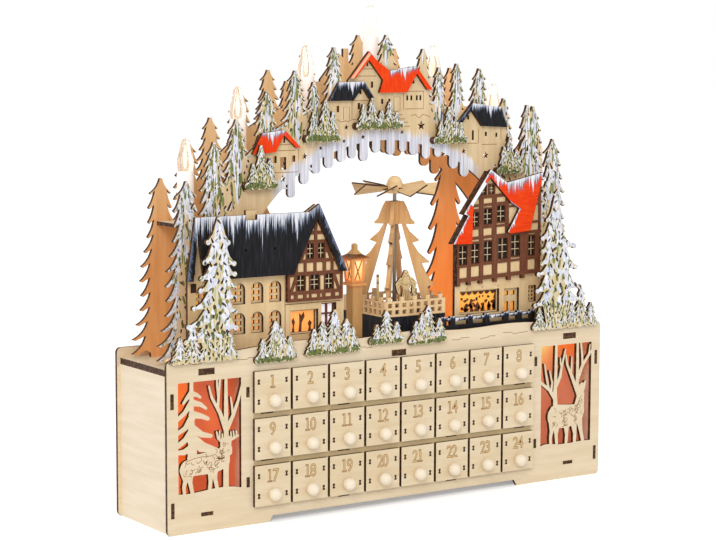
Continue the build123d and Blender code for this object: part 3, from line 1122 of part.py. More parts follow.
def led_modules():
    """Light strips in the scene boxes, behind the houses and between the arches, and the lantern's light."""
    strip, wide = 2.0, 10.0
    scene_x = (SCENE_INNER_X + SCENE_OUTER_X) / 2
    pieces = [block(s * scene_x - wide / 2, s * scene_x + wide / 2, MIDDLE_FRONT - strip, MIDDLE_FRONT,
                    FLOOR_TOP + wide, DECK_UNDER - wide) for s in (-1, 1)]
    house_y = WALL_Y + HOUSE_LAYER + WINDOW_LAYER + 1
    arch_y = FRONT_Y + FRONT_ARCH_SETBACK + PLY + wide
    houses = [(min(x for x, z in wall) + wide, max(x for x, z in wall) - wide)
              for wall in (LEFT_WALL, RIGHT_WALL)]
    legs = [(-ARCH_OUTER_RADIUS, -ARCH_INNER_RADIUS / 2), (ARCH_INNER_RADIUS / 2, ARCH_OUTER_RADIUS)]
    for x0, x1, y0 in [(*span, house_y) for span in houses] + [(*span, arch_y) for span in legs]:
        pieces.append(block(x0, x1, y0, y0 + strip * 2, DECK_TOP, DECK_TOP + strip))
    light = Cylinder(strip, LANTERN_HEAD_HEIGHT / 2, align=(Align.CENTER, Align.CENTER, Align.MIN))
    pieces.append(Pos(LANTERN_X, LANTERN_Y, DECK_TOP + LANTERN_POST_HEIGHT + strip) * light)
    return group(pieces)


NODES = {
    "front_panel": front_panel, "back_panel": back_panel, "side_panels": side_panels,
    "bottom_panel": bottom_panel, "top_boards": top_boards, "middle_wall": middle_wall,
    "lightbox_walls": lightbox_walls, "drawer_grid": drawer_grid, "scene_backings": scene_backings,
    "front_arch": front_arch, "back_arch": back_arch, "arch_bridges": arch_bridges,
    "candle_sleeves": candle_sleeves, "candle_tips": candle_tips,
    "arch_trees": arch_trees, "house_walls": house_walls, "house_timbers": house_timbers,
    "left_house_roof": left_house_roof, "right_house_roof": right_house_roof, "house_windows": house_windows,
    "village_fence": village_fence, "front_trees": front_trees, "pyramid_base": pyramid_base,
    "pyramid_fence": pyramid_fence, "pyramid_fins": pyramid_fins, "pyramid_figures": pyramid_figures,
    "rotor_spindle": rotor_spindle, "rotor_wheel": rotor_wheel, "lantern": lantern,
    "battery_case": battery_case, "battery_cells": battery_cells, "battery_cover": battery_cover,
    "switch_slider": switch_slider,
    "led_modules": led_modules}

os.makedirs("parts", exist_ok=True)
for node, make in NODES.items():
    export_step(make(), f"parts/{node}.step")
export_step(arch_roofs(RED_ROOFS), "parts/arch_red_roofs.step")
export_step(arch_roofs(BLACK_ROOFS), "parts/arch_black_roofs.step")
for row in range(ROWS):
    for column in range(COLUMNS):
        number = row * COLUMNS + column + 1
        export_step(drawer(COLUMN_XS[column], SHELF_TOPS[ROWS - 1 - row]), f"parts/drawer_{number:02d}.step")
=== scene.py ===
import math
import random

import bmesh
import bpy
from mathutils import Matrix, Vector
from mathutils.bvhtree import BVHTree
from mathutils.kdtree import KDTree


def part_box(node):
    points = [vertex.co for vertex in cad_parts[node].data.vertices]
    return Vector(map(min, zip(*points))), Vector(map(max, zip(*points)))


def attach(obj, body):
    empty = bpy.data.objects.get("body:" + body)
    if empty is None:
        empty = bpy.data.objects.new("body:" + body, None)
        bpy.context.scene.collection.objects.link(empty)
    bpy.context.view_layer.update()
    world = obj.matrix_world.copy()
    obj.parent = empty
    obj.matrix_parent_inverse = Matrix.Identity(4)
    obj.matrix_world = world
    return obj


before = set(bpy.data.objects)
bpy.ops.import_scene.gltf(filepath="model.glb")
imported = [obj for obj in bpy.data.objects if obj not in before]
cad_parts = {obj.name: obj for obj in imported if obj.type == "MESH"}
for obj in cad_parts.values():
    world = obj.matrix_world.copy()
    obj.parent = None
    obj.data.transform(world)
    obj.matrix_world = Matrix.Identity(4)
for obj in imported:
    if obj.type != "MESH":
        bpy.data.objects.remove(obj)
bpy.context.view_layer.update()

# Looks of the wooden advent calendar: bare and burnt plywood, brushed paint, engraving and warm lights.
# Sizes and places are in millimetres and become metres when a mesh is made.

MM = 0.001

# The photograph's camera
CAMERA_PLACE = (-908.87, -1343.97, 366.38)
CAMERA_AZIMUTH = -33.61
CAMERA_ELEVATION = 6.36
CAMERA_ROLL = 0.18
CAMERA_LENS = 101.16
SENSOR_WIDTH = 36.0

# Studio, in metres and watts: the surround's strength, what the floor adds where it is seen, and the lamps
SURROUND_LIGHT = 0.78
FLOOR_LIFT = 0.3
FLOOR_REACH = 6.0
LAMPS = (("left_lamp", (-3.4, -4.2, 3.6), 3.0, 150.0),)
LAMP_AIM = (0, 0, 0.2)


def srgb(red, green, blue):
    """A colour as a screen shows it, 0 to 255, turned into linear light."""
    shares = [value / 255 for value in (red, green, blue)]
    linear = [s / 12.92 if s <= 0.04045 else ((s + 0.055) / 1.055) ** 2.4 for s in shares]
    return (*linear, 1.0)


# Colours
BIRCH_PALE = srgb(233, 215, 185)
BIRCH_DARK = srgb(222, 201, 167)
BIRCH_FLECK = srgb(190, 158, 112)
# Boards that face sideways: paler, painted light as if lit by the lamp from the left
LIT_SIDE_PALE = srgb(242, 227, 203)
LIT_SIDE_DARK = srgb(233, 215, 188)
# Wood between the rows of drawers: painted shade under the drawer fronts, with some soot from the cutting
SOOT_AND_SHADE_TONE = srgb(204, 177, 128)
DRAWER_PALE = srgb(231, 213, 182)
DRAWER_DARK = srgb(220, 199, 163)
KNOB_PALE = srgb(248, 238, 220)
HOUSE_PALE = srgb(234, 206, 161)
HOUSE_DARK = srgb(221, 187, 138)
ARCH_PALE = srgb(228, 204, 164)
ARCH_DARK = srgb(212, 183, 139)
FIR_PALE = srgb(230, 206, 156)
FIR_DARK = srgb(214, 186, 134)
CHAR_DARK = srgb(46, 26, 14)
CHAR_BROWN = srgb(112, 70, 36)
ROOF_BLACK = srgb(24, 24, 27)
ROOF_RED = srgb(232, 58, 10)
TIMBER_BROWN = srgb(106, 62, 42)
SNOW_WHITE = srgb(244, 244, 249)
SNOW_LILAC = srgb(190, 194, 212)
SNOW_SHADE = srgb(112, 122, 144)
FIR_GREEN = srgb(70, 84, 34)
FIR_OLIVE = srgb(146, 146, 80)
FIR_WASH = srgb(196, 190, 140)
FROST_WASH = srgb(226, 226, 224)
BUSH_GREEN = srgb(56, 72, 28)
BUSH_OLIVE = srgb(120, 128, 60)
ENGRAVED = srgb(122, 78, 34)
ENGRAVED_PALE = srgb(222, 194, 142)
CANDLE_WHITE = srgb(250, 242, 236)
UNLIT = (0, 0, 0, 1)

# Levels and layers, read from the frame
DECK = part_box("top_boards")[1].z / MM
PANEL_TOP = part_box("back_panel")[1].z / MM
PANEL_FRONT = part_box("side_panels")[0].y / MM
WALL_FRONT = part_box("house_timbers")[1].y / MM
ARCH_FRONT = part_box("front_arch")[0].y / MM
# How far the drawers' front boards and knobs stand out, and how many drawers there are
DRAWER_FRONT = 3.0
KNOB_REACH = 9.0
DRAWERS = 24
# The arch's inner circle: its centre above the deck and beside the middle, and its radius
ARCH_CENTRE = 18.0
ARCH_INNER_SHIFT = 5.5
ARCH_INNER = 148.0
# The left shop's door from side to side, and where the right house's windows start
DOOR_X = (-66.0, -47.0)
RIGHT_HOUSE_X = 60.0
# How far a mark stands off the wood
LIFT = 0.03

# Grain directions as stretches of the pattern, and directions that a board's face looks in
GRAIN_X, GRAIN_Y, GRAIN_Z = (30, 300, 300), (300, 30, 300), (300, 300, 30)
FACE_X, FACE_Y, FACE_Z = (1, 0, 0), (0, 1, 0), (0, 0, 1)
DIAGONAL = math.sqrt(0.5)
# Brush marks as stretches: up and down, and along the courses of a tiled roof
BRUSHED_DOWN, BRUSHED_IN_COURSES = (600, 600, 60), (90, 600, 700)


# Node helpers


def add(tree, kind, inputs=None, **settings):
    """One node with its settings made and its inputs linked or filled in."""
    node = tree.nodes.new(kind)
    for name, value in settings.items():
        setattr(node, name, value)
    for name, value in (inputs or {}).items():
        if isinstance(value, bpy.types.NodeSocket):
            tree.links.new(value, node.inputs[name])
        else:
            node.inputs[name].default_value = value
    return node


def calc(tree, operation, *values):
    return add(tree, "ShaderNodeMath", dict(enumerate(values)), operation=operation).outputs[0]


def times(tree, first, *others):
    for other in others:
        first = calc(tree, "MULTIPLY", first, other)
    return first


def plus(tree, first, second):
    return calc(tree, "ADD", first, second)


def minus(tree, first, second):
    return calc(tree, "SUBTRACT", first, second)


def radius_from(tree, across, up):
    """How far a point is from the centre that across and up are measured from."""
    return calc(tree, "SQRT", plus(tree, times(tree, across, across), times(tree, up, up)))


def along_axis(tree, vector, axis):
    return add(tree, "ShaderNodeVectorMath", {0: vector, 1: axis}, operation="DOT_PRODUCT").outputs["Value"]


def stretched(tree, vector, factors):
    return add(tree, "ShaderNodeVectorMath", {0: vector, 1: factors}, operation="MULTIPLY").outputs[0]


def difference(tree, first, second):
    return add(tree, "ShaderNodeVectorMath", {0: first, 1: second}, operation="SUBTRACT").outputs[0]


def noise(tree, vector, scale, detail=2.0, roughness=0.5):
    values = {"Vector": vector, "Scale": scale, "Detail": detail, "Roughness": roughness}
    return add(tree, "ShaderNodeTexNoise", values).outputs["Fac"]


def ramp(tree, value, start, end):
    """0 before start and 1 past end, in either direction."""
    values = {"Value": value, "From Min": start, "From Max": end}
    return add(tree, "ShaderNodeMapRange", values, interpolation_type="SMOOTHSTEP").outputs["Result"]


def blend(tree, factor, first, second):
    return add(tree, "ShaderNodeMix", {0: factor, 6: first, 7: second}, data_type="RGBA").outputs[2]


def object_place(tree):
    return add(tree, "ShaderNodeTexCoord").outputs["Object"]


def surface_normal(tree):
    return add(tree, "ShaderNodeTexCoord").outputs["Normal"]


def place_in_mm(tree):
    return stretched(tree, object_place(tree), (1 / MM, 1 / MM, 1 / MM))


def place_of(tree):
    """Object coordinates in millimetres, as x, y and z."""
    return add(tree, "ShaderNodeSeparateXYZ", {0: place_in_mm(tree)}).outputs


def shader_group(name, inputs, outputs):
    """An empty node group with named sockets, and its two ends."""
    tree = bpy.data.node_groups.new(name, "ShaderNodeTree")
    for label, kind, value in inputs:
        socket = tree.interface.new_socket(label, in_out="INPUT", socket_type="NodeSocket" + kind)
        socket.default_value = value
    for label, kind in outputs:
        tree.interface.new_socket(label, in_out="OUTPUT", socket_type="NodeSocket" + kind)
    return tree, tree.nodes.new("NodeGroupInput").outputs, tree.nodes.new("NodeGroupOutput").inputs


def fill_group(tree, group, inputs):
    """A node group placed in a material, with its inputs linked or filled in."""
    return add(tree, "ShaderNodeGroup", inputs, node_tree=group).outputs


# Effects that several finishes share


def make_grain():
    """Plywood grain: broad pale and dark figure, fine fibres and small flecks along one direction."""
    tree, inputs, outputs = shader_group(
        "plywood_grain",
        [("Stretch", "Vector", GRAIN_X), ("Pale", "Color", BIRCH_PALE), ("Dark", "Color", BIRCH_DARK)],
        [("Color", "Color"), ("Height", "Float")])
    along = stretched(tree, object_place(tree), inputs["Stretch"])
    figure = ramp(tree, noise(tree, along, 0.55, 3.0, 0.6), 0.3, 0.72)
    fibres = noise(tree, along, 5.0, 2.0, 0.6)
    flecks = ramp(tree, noise(tree, along, 9.0, 1.0), 0.68, 0.8)
    colour = blend(tree, figure, inputs["Pale"], inputs["Dark"])
    colour = blend(tree, times(tree, fibres, 0.35), colour, inputs["Dark"])
    colour = blend(tree, times(tree, flecks, 0.4), colour, BIRCH_FLECK)
    tree.links.new(colour, outputs["Color"])
    tree.links.new(fibres, outputs["Height"])
    return tree


def make_burnt_edge():
    """Cut edges charred by the laser: dark wherever the surface turns away from the board's face."""
    tree, inputs, outputs = shader_group(
        "burnt_edge",
        [("Color", "Color", BIRCH_PALE), ("Face", "Vector", FACE_Y), ("Other Face", "Vector", FACE_Y)],
        [("Color", "Color"), ("Edge", "Float")])
    normal = surface_normal(tree)
    first = calc(tree, "ABSOLUTE", along_axis(tree, normal, inputs["Face"]))
    second = calc(tree, "ABSOLUTE", along_axis(tree, normal, inputs["Other Face"]))
    edge = ramp(tree, calc(tree, "MAXIMUM", first, second), 0.72, 0.5)
    lines = noise(tree, object_place(tree), 420.0, 2.0)
    char = blend(tree, ramp(tree, lines, 0.42, 0.7), CHAR_DARK, CHAR_BROWN)
    tree.links.new(blend(tree, edge, inputs["Color"], char), outputs["Color"])
    tree.links.new(edge, outputs["Edge"])
    return tree


def make_brushed():
    """Brushed paint: streaks and patches that are a little paler or darker than the colour."""
    tree, inputs, outputs = shader_group(
        "brushed_paint",
        [("Color", "Color", ROOF_RED), ("Worn", "Color", ROOF_RED), ("Stretch", "Vector", BRUSHED_DOWN)],
        [("Color", "Color"), ("Height", "Float")])
    streaks = noise(tree, stretched(tree, object_place(tree), inputs["Stretch"]), 1.0, 3.0, 0.65)
    colour = blend(tree, ramp(tree, streaks, 0.4, 0.75), inputs["Color"], inputs["Worn"])
    tree.links.new(colour, outputs["Color"])
    tree.links.new(streaks, outputs["Height"])
    return tree


def make_ridge_snow():
    """Snow brushed down from one upper edge of a roof: full at the edge, thinning out in streaks."""
    tree, inputs, outputs = shader_group(
        "ridge_snow",
        [("Start", "Vector", (0, 0, 0)), ("Along", "Vector", (1, 0, 0)), ("Inward", "Vector", (0, 0, -1)),
         ("Length", "Float", 50.0), ("Reach", "Float", 10.0), ("Skew", "Float", 0.0)],
        [("Snow", "Float")])
    offset = difference(tree, place_in_mm(tree), inputs["Start"])
    along = along_axis(tree, offset, inputs["Along"])
    depth = along_axis(tree, offset, inputs["Inward"])
    across = plus(tree, along, times(tree, depth, inputs["Skew"]))
    strand = add(tree, "ShaderNodeCombineXYZ", {"X": across, "Y": times(tree, depth, 0.03)}).outputs[0]
    fine = ramp(tree, noise(tree, strand, 0.75, 3.0, 0.7), 0.25, 0.75)
    broad = ramp(tree, noise(tree, strand, 0.13, 1.0), 0.25, 0.7)
    share = times(tree, fine, plus(tree, broad, 0.3))
    left = minus(tree, plus(tree, share, 0.1), calc(tree, "DIVIDE", depth, inputs["Reach"]))
    past = minus(tree, along, inputs["Length"])
    inside = times(tree, ramp(tree, along, -1.0, 0.5), ramp(tree, past, 1.0, -0.5))
    tree.links.new(times(tree, ramp(tree, left, 0.0, 0.45), inside), outputs["Snow"])
    return tree


def make_inside_box():
    """1 within an upright box of heights and widths, seen from the front."""
    tree, inputs, outputs = shader_group(
        "inside_box", [("Low", "Vector", (0, 0, 0)), ("High", "Vector", (1, 1, 1))], [("Inside", "Float")])
    place = place_in_mm(tree)
    margins = []
    for gap in (difference(tree, place, inputs["Low"]), difference(tree, inputs["High"], place)):
        sides = add(tree, "ShaderNodeSeparateXYZ", {0: gap}).outputs
        margins.append(calc(tree, "MINIMUM", sides["X"], sides["Z"]))
    tree.links.new(calc(tree, "GREATER_THAN", calc(tree, "MINIMUM", *margins), 0.0), outputs["Inside"])
    return tree


GRAIN = make_grain()
BURNT_EDGE = make_burnt_edge()
BRUSHED = make_brushed()
RIDGE_SNOW = make_ridge_snow()
INSIDE_BOX = make_inside_box()


# Boards read from the frame

# Points on a stroke's rim, as shares of its width and length, that have to lie on the board
STROKE_RIM = ((0, 0.02), (0.36, 0.12), (-0.36, 0.12), (0.48, 0.4), (-0.48, 0.4), (0.42, 0.72), (-0.42, 0.72),
              (0, 0.98))


class BoardFace:
    """A board's front face to paint on: its triangles, and its outline as start, end and outward side."""

    def __init__(self, node):
        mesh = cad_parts[node].data
        mesh.calc_loop_triangles()
        self.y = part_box(node)[0].y / MM
        corners, faces, edges = [], [], {}
        for triangle in mesh.loop_triangles:
            points = [mesh.vertices[corner].co / MM for corner in triangle.vertices]
            if triangle.normal.y > -0.9 or max(abs(point.y - self.y) for point in points) > 0.01:
                continue
            faces.append([len(corners) + n for n in range(3)])
            corners += points
            flat = [(round(point.x, 3), round(point.z, 3)) for point in points]
            for n in range(3):
                start, end, third = flat[n], flat[(n + 1) % 3], flat[(n + 2) % 3]
                edges.setdefault(frozenset((start, end)), []).append((start, end, third))
        self.rays = BVHTree.FromPolygons(corners, faces)
        self.low = Vector((min(c.x for c in corners), min(c.z for c in corners)))
        self.high = Vector((max(c.x for c in corners), max(c.z for c in corners)))
        self.outline = self.outer_edges(edges)
        self.rim = self.rim_samples(0.6)

    @staticmethod
    def outer_edges(edges):
        """The edges that only one triangle has, in a steady order."""
        outline = []
        for users in edges.values():
            start, end, third = (Vector(point) for point in users[0])
            along = end - start
            if len(users) == 1 and along.length > 0.001:
                outward = Vector((along.y, -along.x)).normalized()
                if outward.dot(third - start) > 0:
                    outward.negate()
                outline.append((start, end, outward))
        return sorted(outline, key=lambda edge: tuple(edge[0]) + tuple(edge[1]))

    def rim_samples(self, spacing):
        """Points along the outline, to measure distances from."""
        samples = []
        for start, end, _ in self.outline:
            steps = max(1, round((end - start).length / spacing))
            samples += [start.lerp(end, n / steps) for n in range(steps)]
        rim = KDTree(len(samples))
        for n, sample in enumerate(samples):
            rim.insert((sample.x, sample.y, 0), n)
        rim.balance()
        return rim

    def holds(self, x, z):
        """True if a point lies on the face."""
        return self.rays.ray_cast(Vector((x, self.y - 5, z)), Vector((0, 1, 0)), 6.0)[0] is not None

    def depth(self, x, z):
        """How far a point is from the outline."""
        return self.rim.find((x, z, 0))[2]

    def fits(self, start, along, width, length):
        """True if a stroke from start, in direction along, lies wholly on the face."""
        side = Vector((along.y, -along.x))
        for across, share in STROKE_RIM:
            point = start + side * (across * width) + along * (share * length)
            if not self.holds(point.x, point.y):
                return False
        return True


def loose_boxes(node):
    """The boxes of a node's separate solids, in millimetres, as lowest and highest corner."""
    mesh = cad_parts[node].data
    owner = {}

    def find(key):
        while owner[key] != key:
            owner[key] = owner[owner[key]]
            key = owner[key]
        return key

    keys = [tuple(round(value / MM, 2) for value in vertex.co) for vertex in mesh.vertices]
    for key in keys:
        owner.setdefault(key, key)
    for polygon in mesh.polygons:
        first = find(keys[polygon.vertices[0]])
        for corner in polygon.vertices[1:]:
            owner[find(keys[corner])] = first
    groups = {}
    for key in owner:
        groups.setdefault(find(key), []).append(key)
    boxes = [(Vector(map(min, *members)), Vector(map(max, *members))) for members in groups.values()]
    return sorted(boxes, key=lambda box: tuple(box[0]))


# Finishes of the pieces


def new_material(name, **sockets):
    """A material with its Principled shader's plain values set by socket name."""
    material = bpy.data.materials.new(name)
    material.use_nodes = True
    shader = material.node_tree.nodes["Principled BSDF"]
    for label, value in sockets.items():
        shader.inputs[label.replace("_", " ")].default_value = value
    return material, material.node_tree, shader


def bump(tree, shader, height, strength, distance=0.0003):
    node = add(tree, "ShaderNodeBump", {"Height": height, "Strength": strength, "Distance": distance})
    tree.links.new(node.outputs["Normal"], shader.inputs["Normal"])


def grain_of(tree, stretch, pale, dark):
    """Plywood grain, as the group's outputs."""
    return fill_group(tree, GRAIN, {"Stretch": stretch, "Pale": pale, "Dark": dark})


def burnt_edge(tree, colour, face=FACE_Y, other=None):
    """A board's colour with its cut edges burnt, as the group's outputs."""
    return fill_group(tree, BURNT_EDGE, {"Color": colour, "Face": face, "Other Face": other or face})


def cut_board(tree, shader, colour, height, strength=0.25, face=FACE_Y, other=None):
    """Gives a shader a board's colour with burnt cut edges, and its relief; returns where the edges are."""
    burnt = burnt_edge(tree, colour, face, other)
    tree.links.new(burnt["Color"], shader.inputs["Base Color"])
    bump(tree, shader, height, strength)
    return burnt["Edge"]


def plywood(name, stretch, face, other=None, pale=BIRCH_PALE, dark=BIRCH_DARK):
    """Bare plywood with burnt cut edges."""
    material, tree, shader = new_material(name, Roughness=0.6, Specular_IOR_Level=0.3)
    grain = grain_of(tree, stretch, pale, dark)
    cut_board(tree, shader, grain["Color"], grain["Height"], face=face, other=other)
    return material


def panel_wood():
    """The front panel: plywood, darker between the rows of drawers with soot from the cutting and painted
    shade.
    """
    rim, shade_share = 0.5, 0.85
    material, tree, shader = new_material("panel_wood", Roughness=0.6, Specular_IOR_Level=0.3)
    grain = grain_of(tree, GRAIN_X, BIRCH_PALE, BIRCH_DARK)
    lows, highs = zip(*(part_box(f"drawer_{number:02d}") for number in range(1, DRAWERS + 1)))
    low = [min(corner[axis] for corner in lows) / MM + rim for axis in range(3)]
    high = [max(corner[axis] for corner in highs) / MM - rim for axis in range(3)]
    rows = fill_group(tree, INSIDE_BOX, {"Low": low, "High": high})["Inside"]
    # Painted shade, with some soot, on the strips between the rows of drawers
    face = blend(tree, times(tree, rows, shade_share), grain["Color"], SOOT_AND_SHADE_TONE)
    cut_board(tree, shader, face, grain["Height"])
    return material


def drawer_wood():
    """Plywood with a burnt rim on the drawer's front board only, a bare tray and a paler knob."""
    board_front, board_rear = PANEL_FRONT - DRAWER_FRONT - 0.01, PANEL_FRONT + 0.01
    knob_paleness = 0.6
    material, tree, shader = new_material("drawer_wood", Roughness=0.55, Specular_IOR_Level=0.35)
    grain = grain_of(tree, GRAIN_X, DRAWER_PALE, DRAWER_DARK)
    y = place_of(tree)["Y"]
    board = times(tree, calc(tree, "LESS_THAN", y, board_rear), calc(tree, "GREATER_THAN", y, board_front))
    knob = times(tree, calc(tree, "LESS_THAN", y, board_front), knob_paleness)
    face = blend(tree, board, grain["Color"], burnt_edge(tree, grain["Color"])["Color"])
    tree.links.new(blend(tree, knob, face, KNOB_PALE), shader.inputs["Base Color"])
    bump(tree, shader, grain["Height"], 0.2)
    return material


def rotor_wood():
    """Blades with burnt edges on a bare turned hub."""
    hub_radius = 7.4
    material, tree, shader = new_material("rotor_wood", Roughness=0.58, Specular_IOR_Level=0.32)
    grain = grain_of(tree, GRAIN_X, srgb(243, 214, 166), srgb(228, 190, 136))
    place = place_of(tree)
    centre = (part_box("rotor_spindle")[0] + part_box("rotor_spindle")[1]) / 2 / MM
    radius = radius_from(tree, minus(tree, place["X"], centre.x), minus(tree, place["Y"], centre.y))
    hub = calc(tree, "LESS_THAN", radius, hub_radius)
    blades = burnt_edge(tree, grain["Color"], FACE_Z)["Color"]
    tree.links.new(blend(tree, hub, blades, grain["Color"]), shader.inputs["Base Color"])
    bump(tree, shader, grain["Height"], 0.2)
    return material


def painted(name, colour, worn, stretch=BRUSHED_DOWN, edge=True):
    """Brushed paint, on a board whose cut edges are burnt or painted over."""
    material, tree, shader = new_material(name, Roughness=0.6, Specular_IOR_Level=0.15)
    brushed = fill_group(tree, BRUSHED, {"Color": colour, "Worn": worn, "Stretch": stretch})
    result = burnt_edge(tree, brushed["Color"])["Color"] if edge else brushed["Color"]
    tree.links.new(result, shader.inputs["Base Color"])
    bump(tree, shader, brushed["Height"], 0.3)
    return material


def verge_strip(tree, start, end, outward):
    """The worn middle of a narrow strip along a steep edge."""
    strip, rim, soft, fade, wear = 3.4, 0.5, 0.3, 1.5, 0.75
    offset = difference(tree, place_in_mm(tree), (start.x, 0, start.y))
    length, along = (end - start).length, (end - start).normalized()
    run = along_axis(tree, offset, (along.x, 0, along.y))
    depth = along_axis(tree, offset, (-outward.x, 0, -outward.y))
    within = times(tree, ramp(tree, run, 0.0, fade), ramp(tree, run, length, length - fade))
    upper = ramp(tree, depth, rim - soft, rim + soft)
    lower = ramp(tree, depth, strip - rim + soft, strip - rim - soft)
    return times(tree, within, upper, lower, wear)


def snowed_roof(name, node, colours, reach, verge, stretch=BRUSHED_DOWN, flattest=0.1, bare_verge=None):
    """Roof paint with snow brushed down from the upper edges, on steep ones only the verge's share of it."""
    shortest, free_above, most_skew, least_reach = 3.5, 5, 0.9, 0.2
    material, tree, shader = new_material(name, Roughness=0.6, Specular_IOR_Level=0.12)
    brushed = fill_group(tree, BRUSHED, {"Color": colours[0], "Worn": colours[1], "Stretch": stretch})
    board = BoardFace(node)
    paint, snow = brushed["Color"], None
    for start, end, outward in board.outline:
        if bare_verge and outward.x < -0.5 and 0.6 < outward.y < flattest:
            paint = blend(tree, verge_strip(tree, start, end, outward), paint, bare_verge)
        length, along = (end - start).length, (end - start).normalized()
        beyond = start.lerp(end, 0.5) + outward * free_above
        if outward.y < flattest or length < shortest or board.holds(beyond.x, beyond.y):
            continue
        mask = fill_group(tree, RIDGE_SNOW, {
            "Start": (start.x, 0, start.y), "Along": (along.x, 0, along.y),
            "Inward": (-outward.x, 0, -outward.y), "Length": length,
            "Reach": reach * max(least_reach, outward.y ** 3),
            "Skew": max(-most_skew, min(most_skew, along.y / outward.y))})["Snow"]
        mask = times(tree, mask, verge + (1 - verge) * outward.y ** 4)
        snow = calc(tree, "MAXIMUM", snow, mask) if snow else mask
    face = blend(tree, ramp(tree, snow, 0.06, 0.64), paint, SNOW_SHADE)
    face = blend(tree, ramp(tree, snow, 0.64, 1.12), face, SNOW_WHITE)
    cut_board(tree, shader, face, plus(tree, brushed["Height"], snow), 0.3)
    return material


def washed_fir(name, amount):
    """Fir boards with a thin wash of grey-green and white over the wood."""
    material, tree, shader = new_material(name, Roughness=0.62, Specular_IOR_Level=0.25)
    grain = grain_of(tree, GRAIN_Z, FIR_PALE, FIR_DARK)
    strands = stretched(tree, object_place(tree), (520, 520, 90))
    green = ramp(tree, noise(tree, strands, 1.0, 2.0, 0.6), 0.4, 0.62)
    pale = ramp(tree, noise(tree, strands, 1.7, 2.0, 0.6), 0.48, 0.66)
    face = blend(tree, times(tree, green, amount), grain["Color"], FIR_WASH)
    face = blend(tree, times(tree, pale, amount), face, FROST_WASH)
    cut_board(tree, shader, face, grain["Height"])
    return material


def arch_wood():
    """The front arch: bare wood, with a streaked white band over the drips along its inner edge."""
    band_start, streak_reach, patch_reach, cover = ARCH_INNER - 5.0, 14.0, 14.0, 0.9
    band_ends = (104.0, 92.0)
    material, tree, shader = new_material("arch_wood", Roughness=0.62, Specular_IOR_Level=0.3)
    grain = grain_of(tree, GRAIN_Z, ARCH_PALE, ARCH_DARK)
    place = place_of(tree)
    run, rise = minus(tree, place["X"], ARCH_INNER_SHIFT), minus(tree, place["Z"], DECK + ARCH_CENTRE)
    streaks = noise(tree, stretched(tree, object_place(tree), (420, 0, 16)), 1.0, 3.0, 0.6)
    patches = noise(tree, stretched(tree, object_place(tree), (60, 0, 60)), 1.0, 1.0)
    reach = plus(tree, times(tree, streaks, streak_reach), times(tree, patches, patch_reach))
    depth = minus(tree, plus(tree, reach, band_start), radius_from(tree, run, rise))
    ends = ramp(tree, calc(tree, "ABSOLUTE", place["X"]), *band_ends)
    band = times(tree, ramp(tree, depth, -2.0, 4.0), ends)
    front = ramp(tree, place["Y"], ARCH_FRONT + 2.5, ARCH_FRONT + 0.5)
    snow = blend(tree, ramp(tree, streaks, 0.36, 0.7), SNOW_LILAC, SNOW_WHITE)
    face = blend(tree, times(tree, band, cover, front), grain["Color"], snow)
    cut_board(tree, shader, face, grain["Height"])
    return material


def lit_wood():
    """The back arch: wood that the lamps between the arches light, strongest low down on the right."""
    warm_to, pale_from = DECK + 60.0, DECK + 170.0
    glow_end, glow_full, cloud_height = DECK + 170.0, DECK + 70.0, 60.0
    material, tree, shader = new_material("lit_wood", Roughness=0.62, Specular_IOR_Level=0.2,
                                          Emission_Strength=0.42)
    place = place_of(tree)
    high = ramp(tree, place["Z"], warm_to, pale_from)
    pale = blend(tree, high, srgb(234, 172, 112), srgb(236, 200, 152))
    dark = blend(tree, high, srgb(214, 146, 88), srgb(222, 180, 128))
    grain = grain_of(tree, GRAIN_Z, pale, dark)
    edge = cut_board(tree, shader, grain["Color"], grain["Height"])
    cloud = times(tree, noise(tree, object_place(tree), 16.0, 1.0), cloud_height)
    low = ramp(tree, plus(tree, place["Z"], cloud), glow_end, glow_full)
    light = blend(tree, low, srgb(164, 80, 18), srgb(255, 122, 26))
    board_front, board_rear = (corner.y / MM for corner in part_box("back_arch"))
    front = ramp(tree, place["Y"], board_rear - 0.5, board_front + 0.5)
    right = ramp(tree, place["X"], 20.0, 70.0)
    glow = times(tree, front, right, minus(tree, 1.0, edge))
    tree.links.new(blend(tree, glow, UNLIT, light), shader.inputs["Emission Color"])
    return material


def lantern_wood():
    """Lantern wood, warmly lit around the head."""
    material, tree, shader = new_material("lantern_wood", Roughness=0.6, Specular_IOR_Level=0.3,
                                          Emission_Strength=0.28)
    grain = grain_of(tree, GRAIN_Z, srgb(202, 156, 98), srgb(178, 130, 76))
    cut_board(tree, shader, grain["Color"], grain["Height"], face=FACE_X, other=FACE_Y)
    z = place_of(tree)["Z"]
    head = times(tree, ramp(tree, z, DECK + 46, DECK + 58), ramp(tree, z, DECK + 78, DECK + 72))
    tree.links.new(blend(tree, head, srgb(40, 18, 4), srgb(255, 128, 50)), shader.inputs["Emission Color"])
    return material


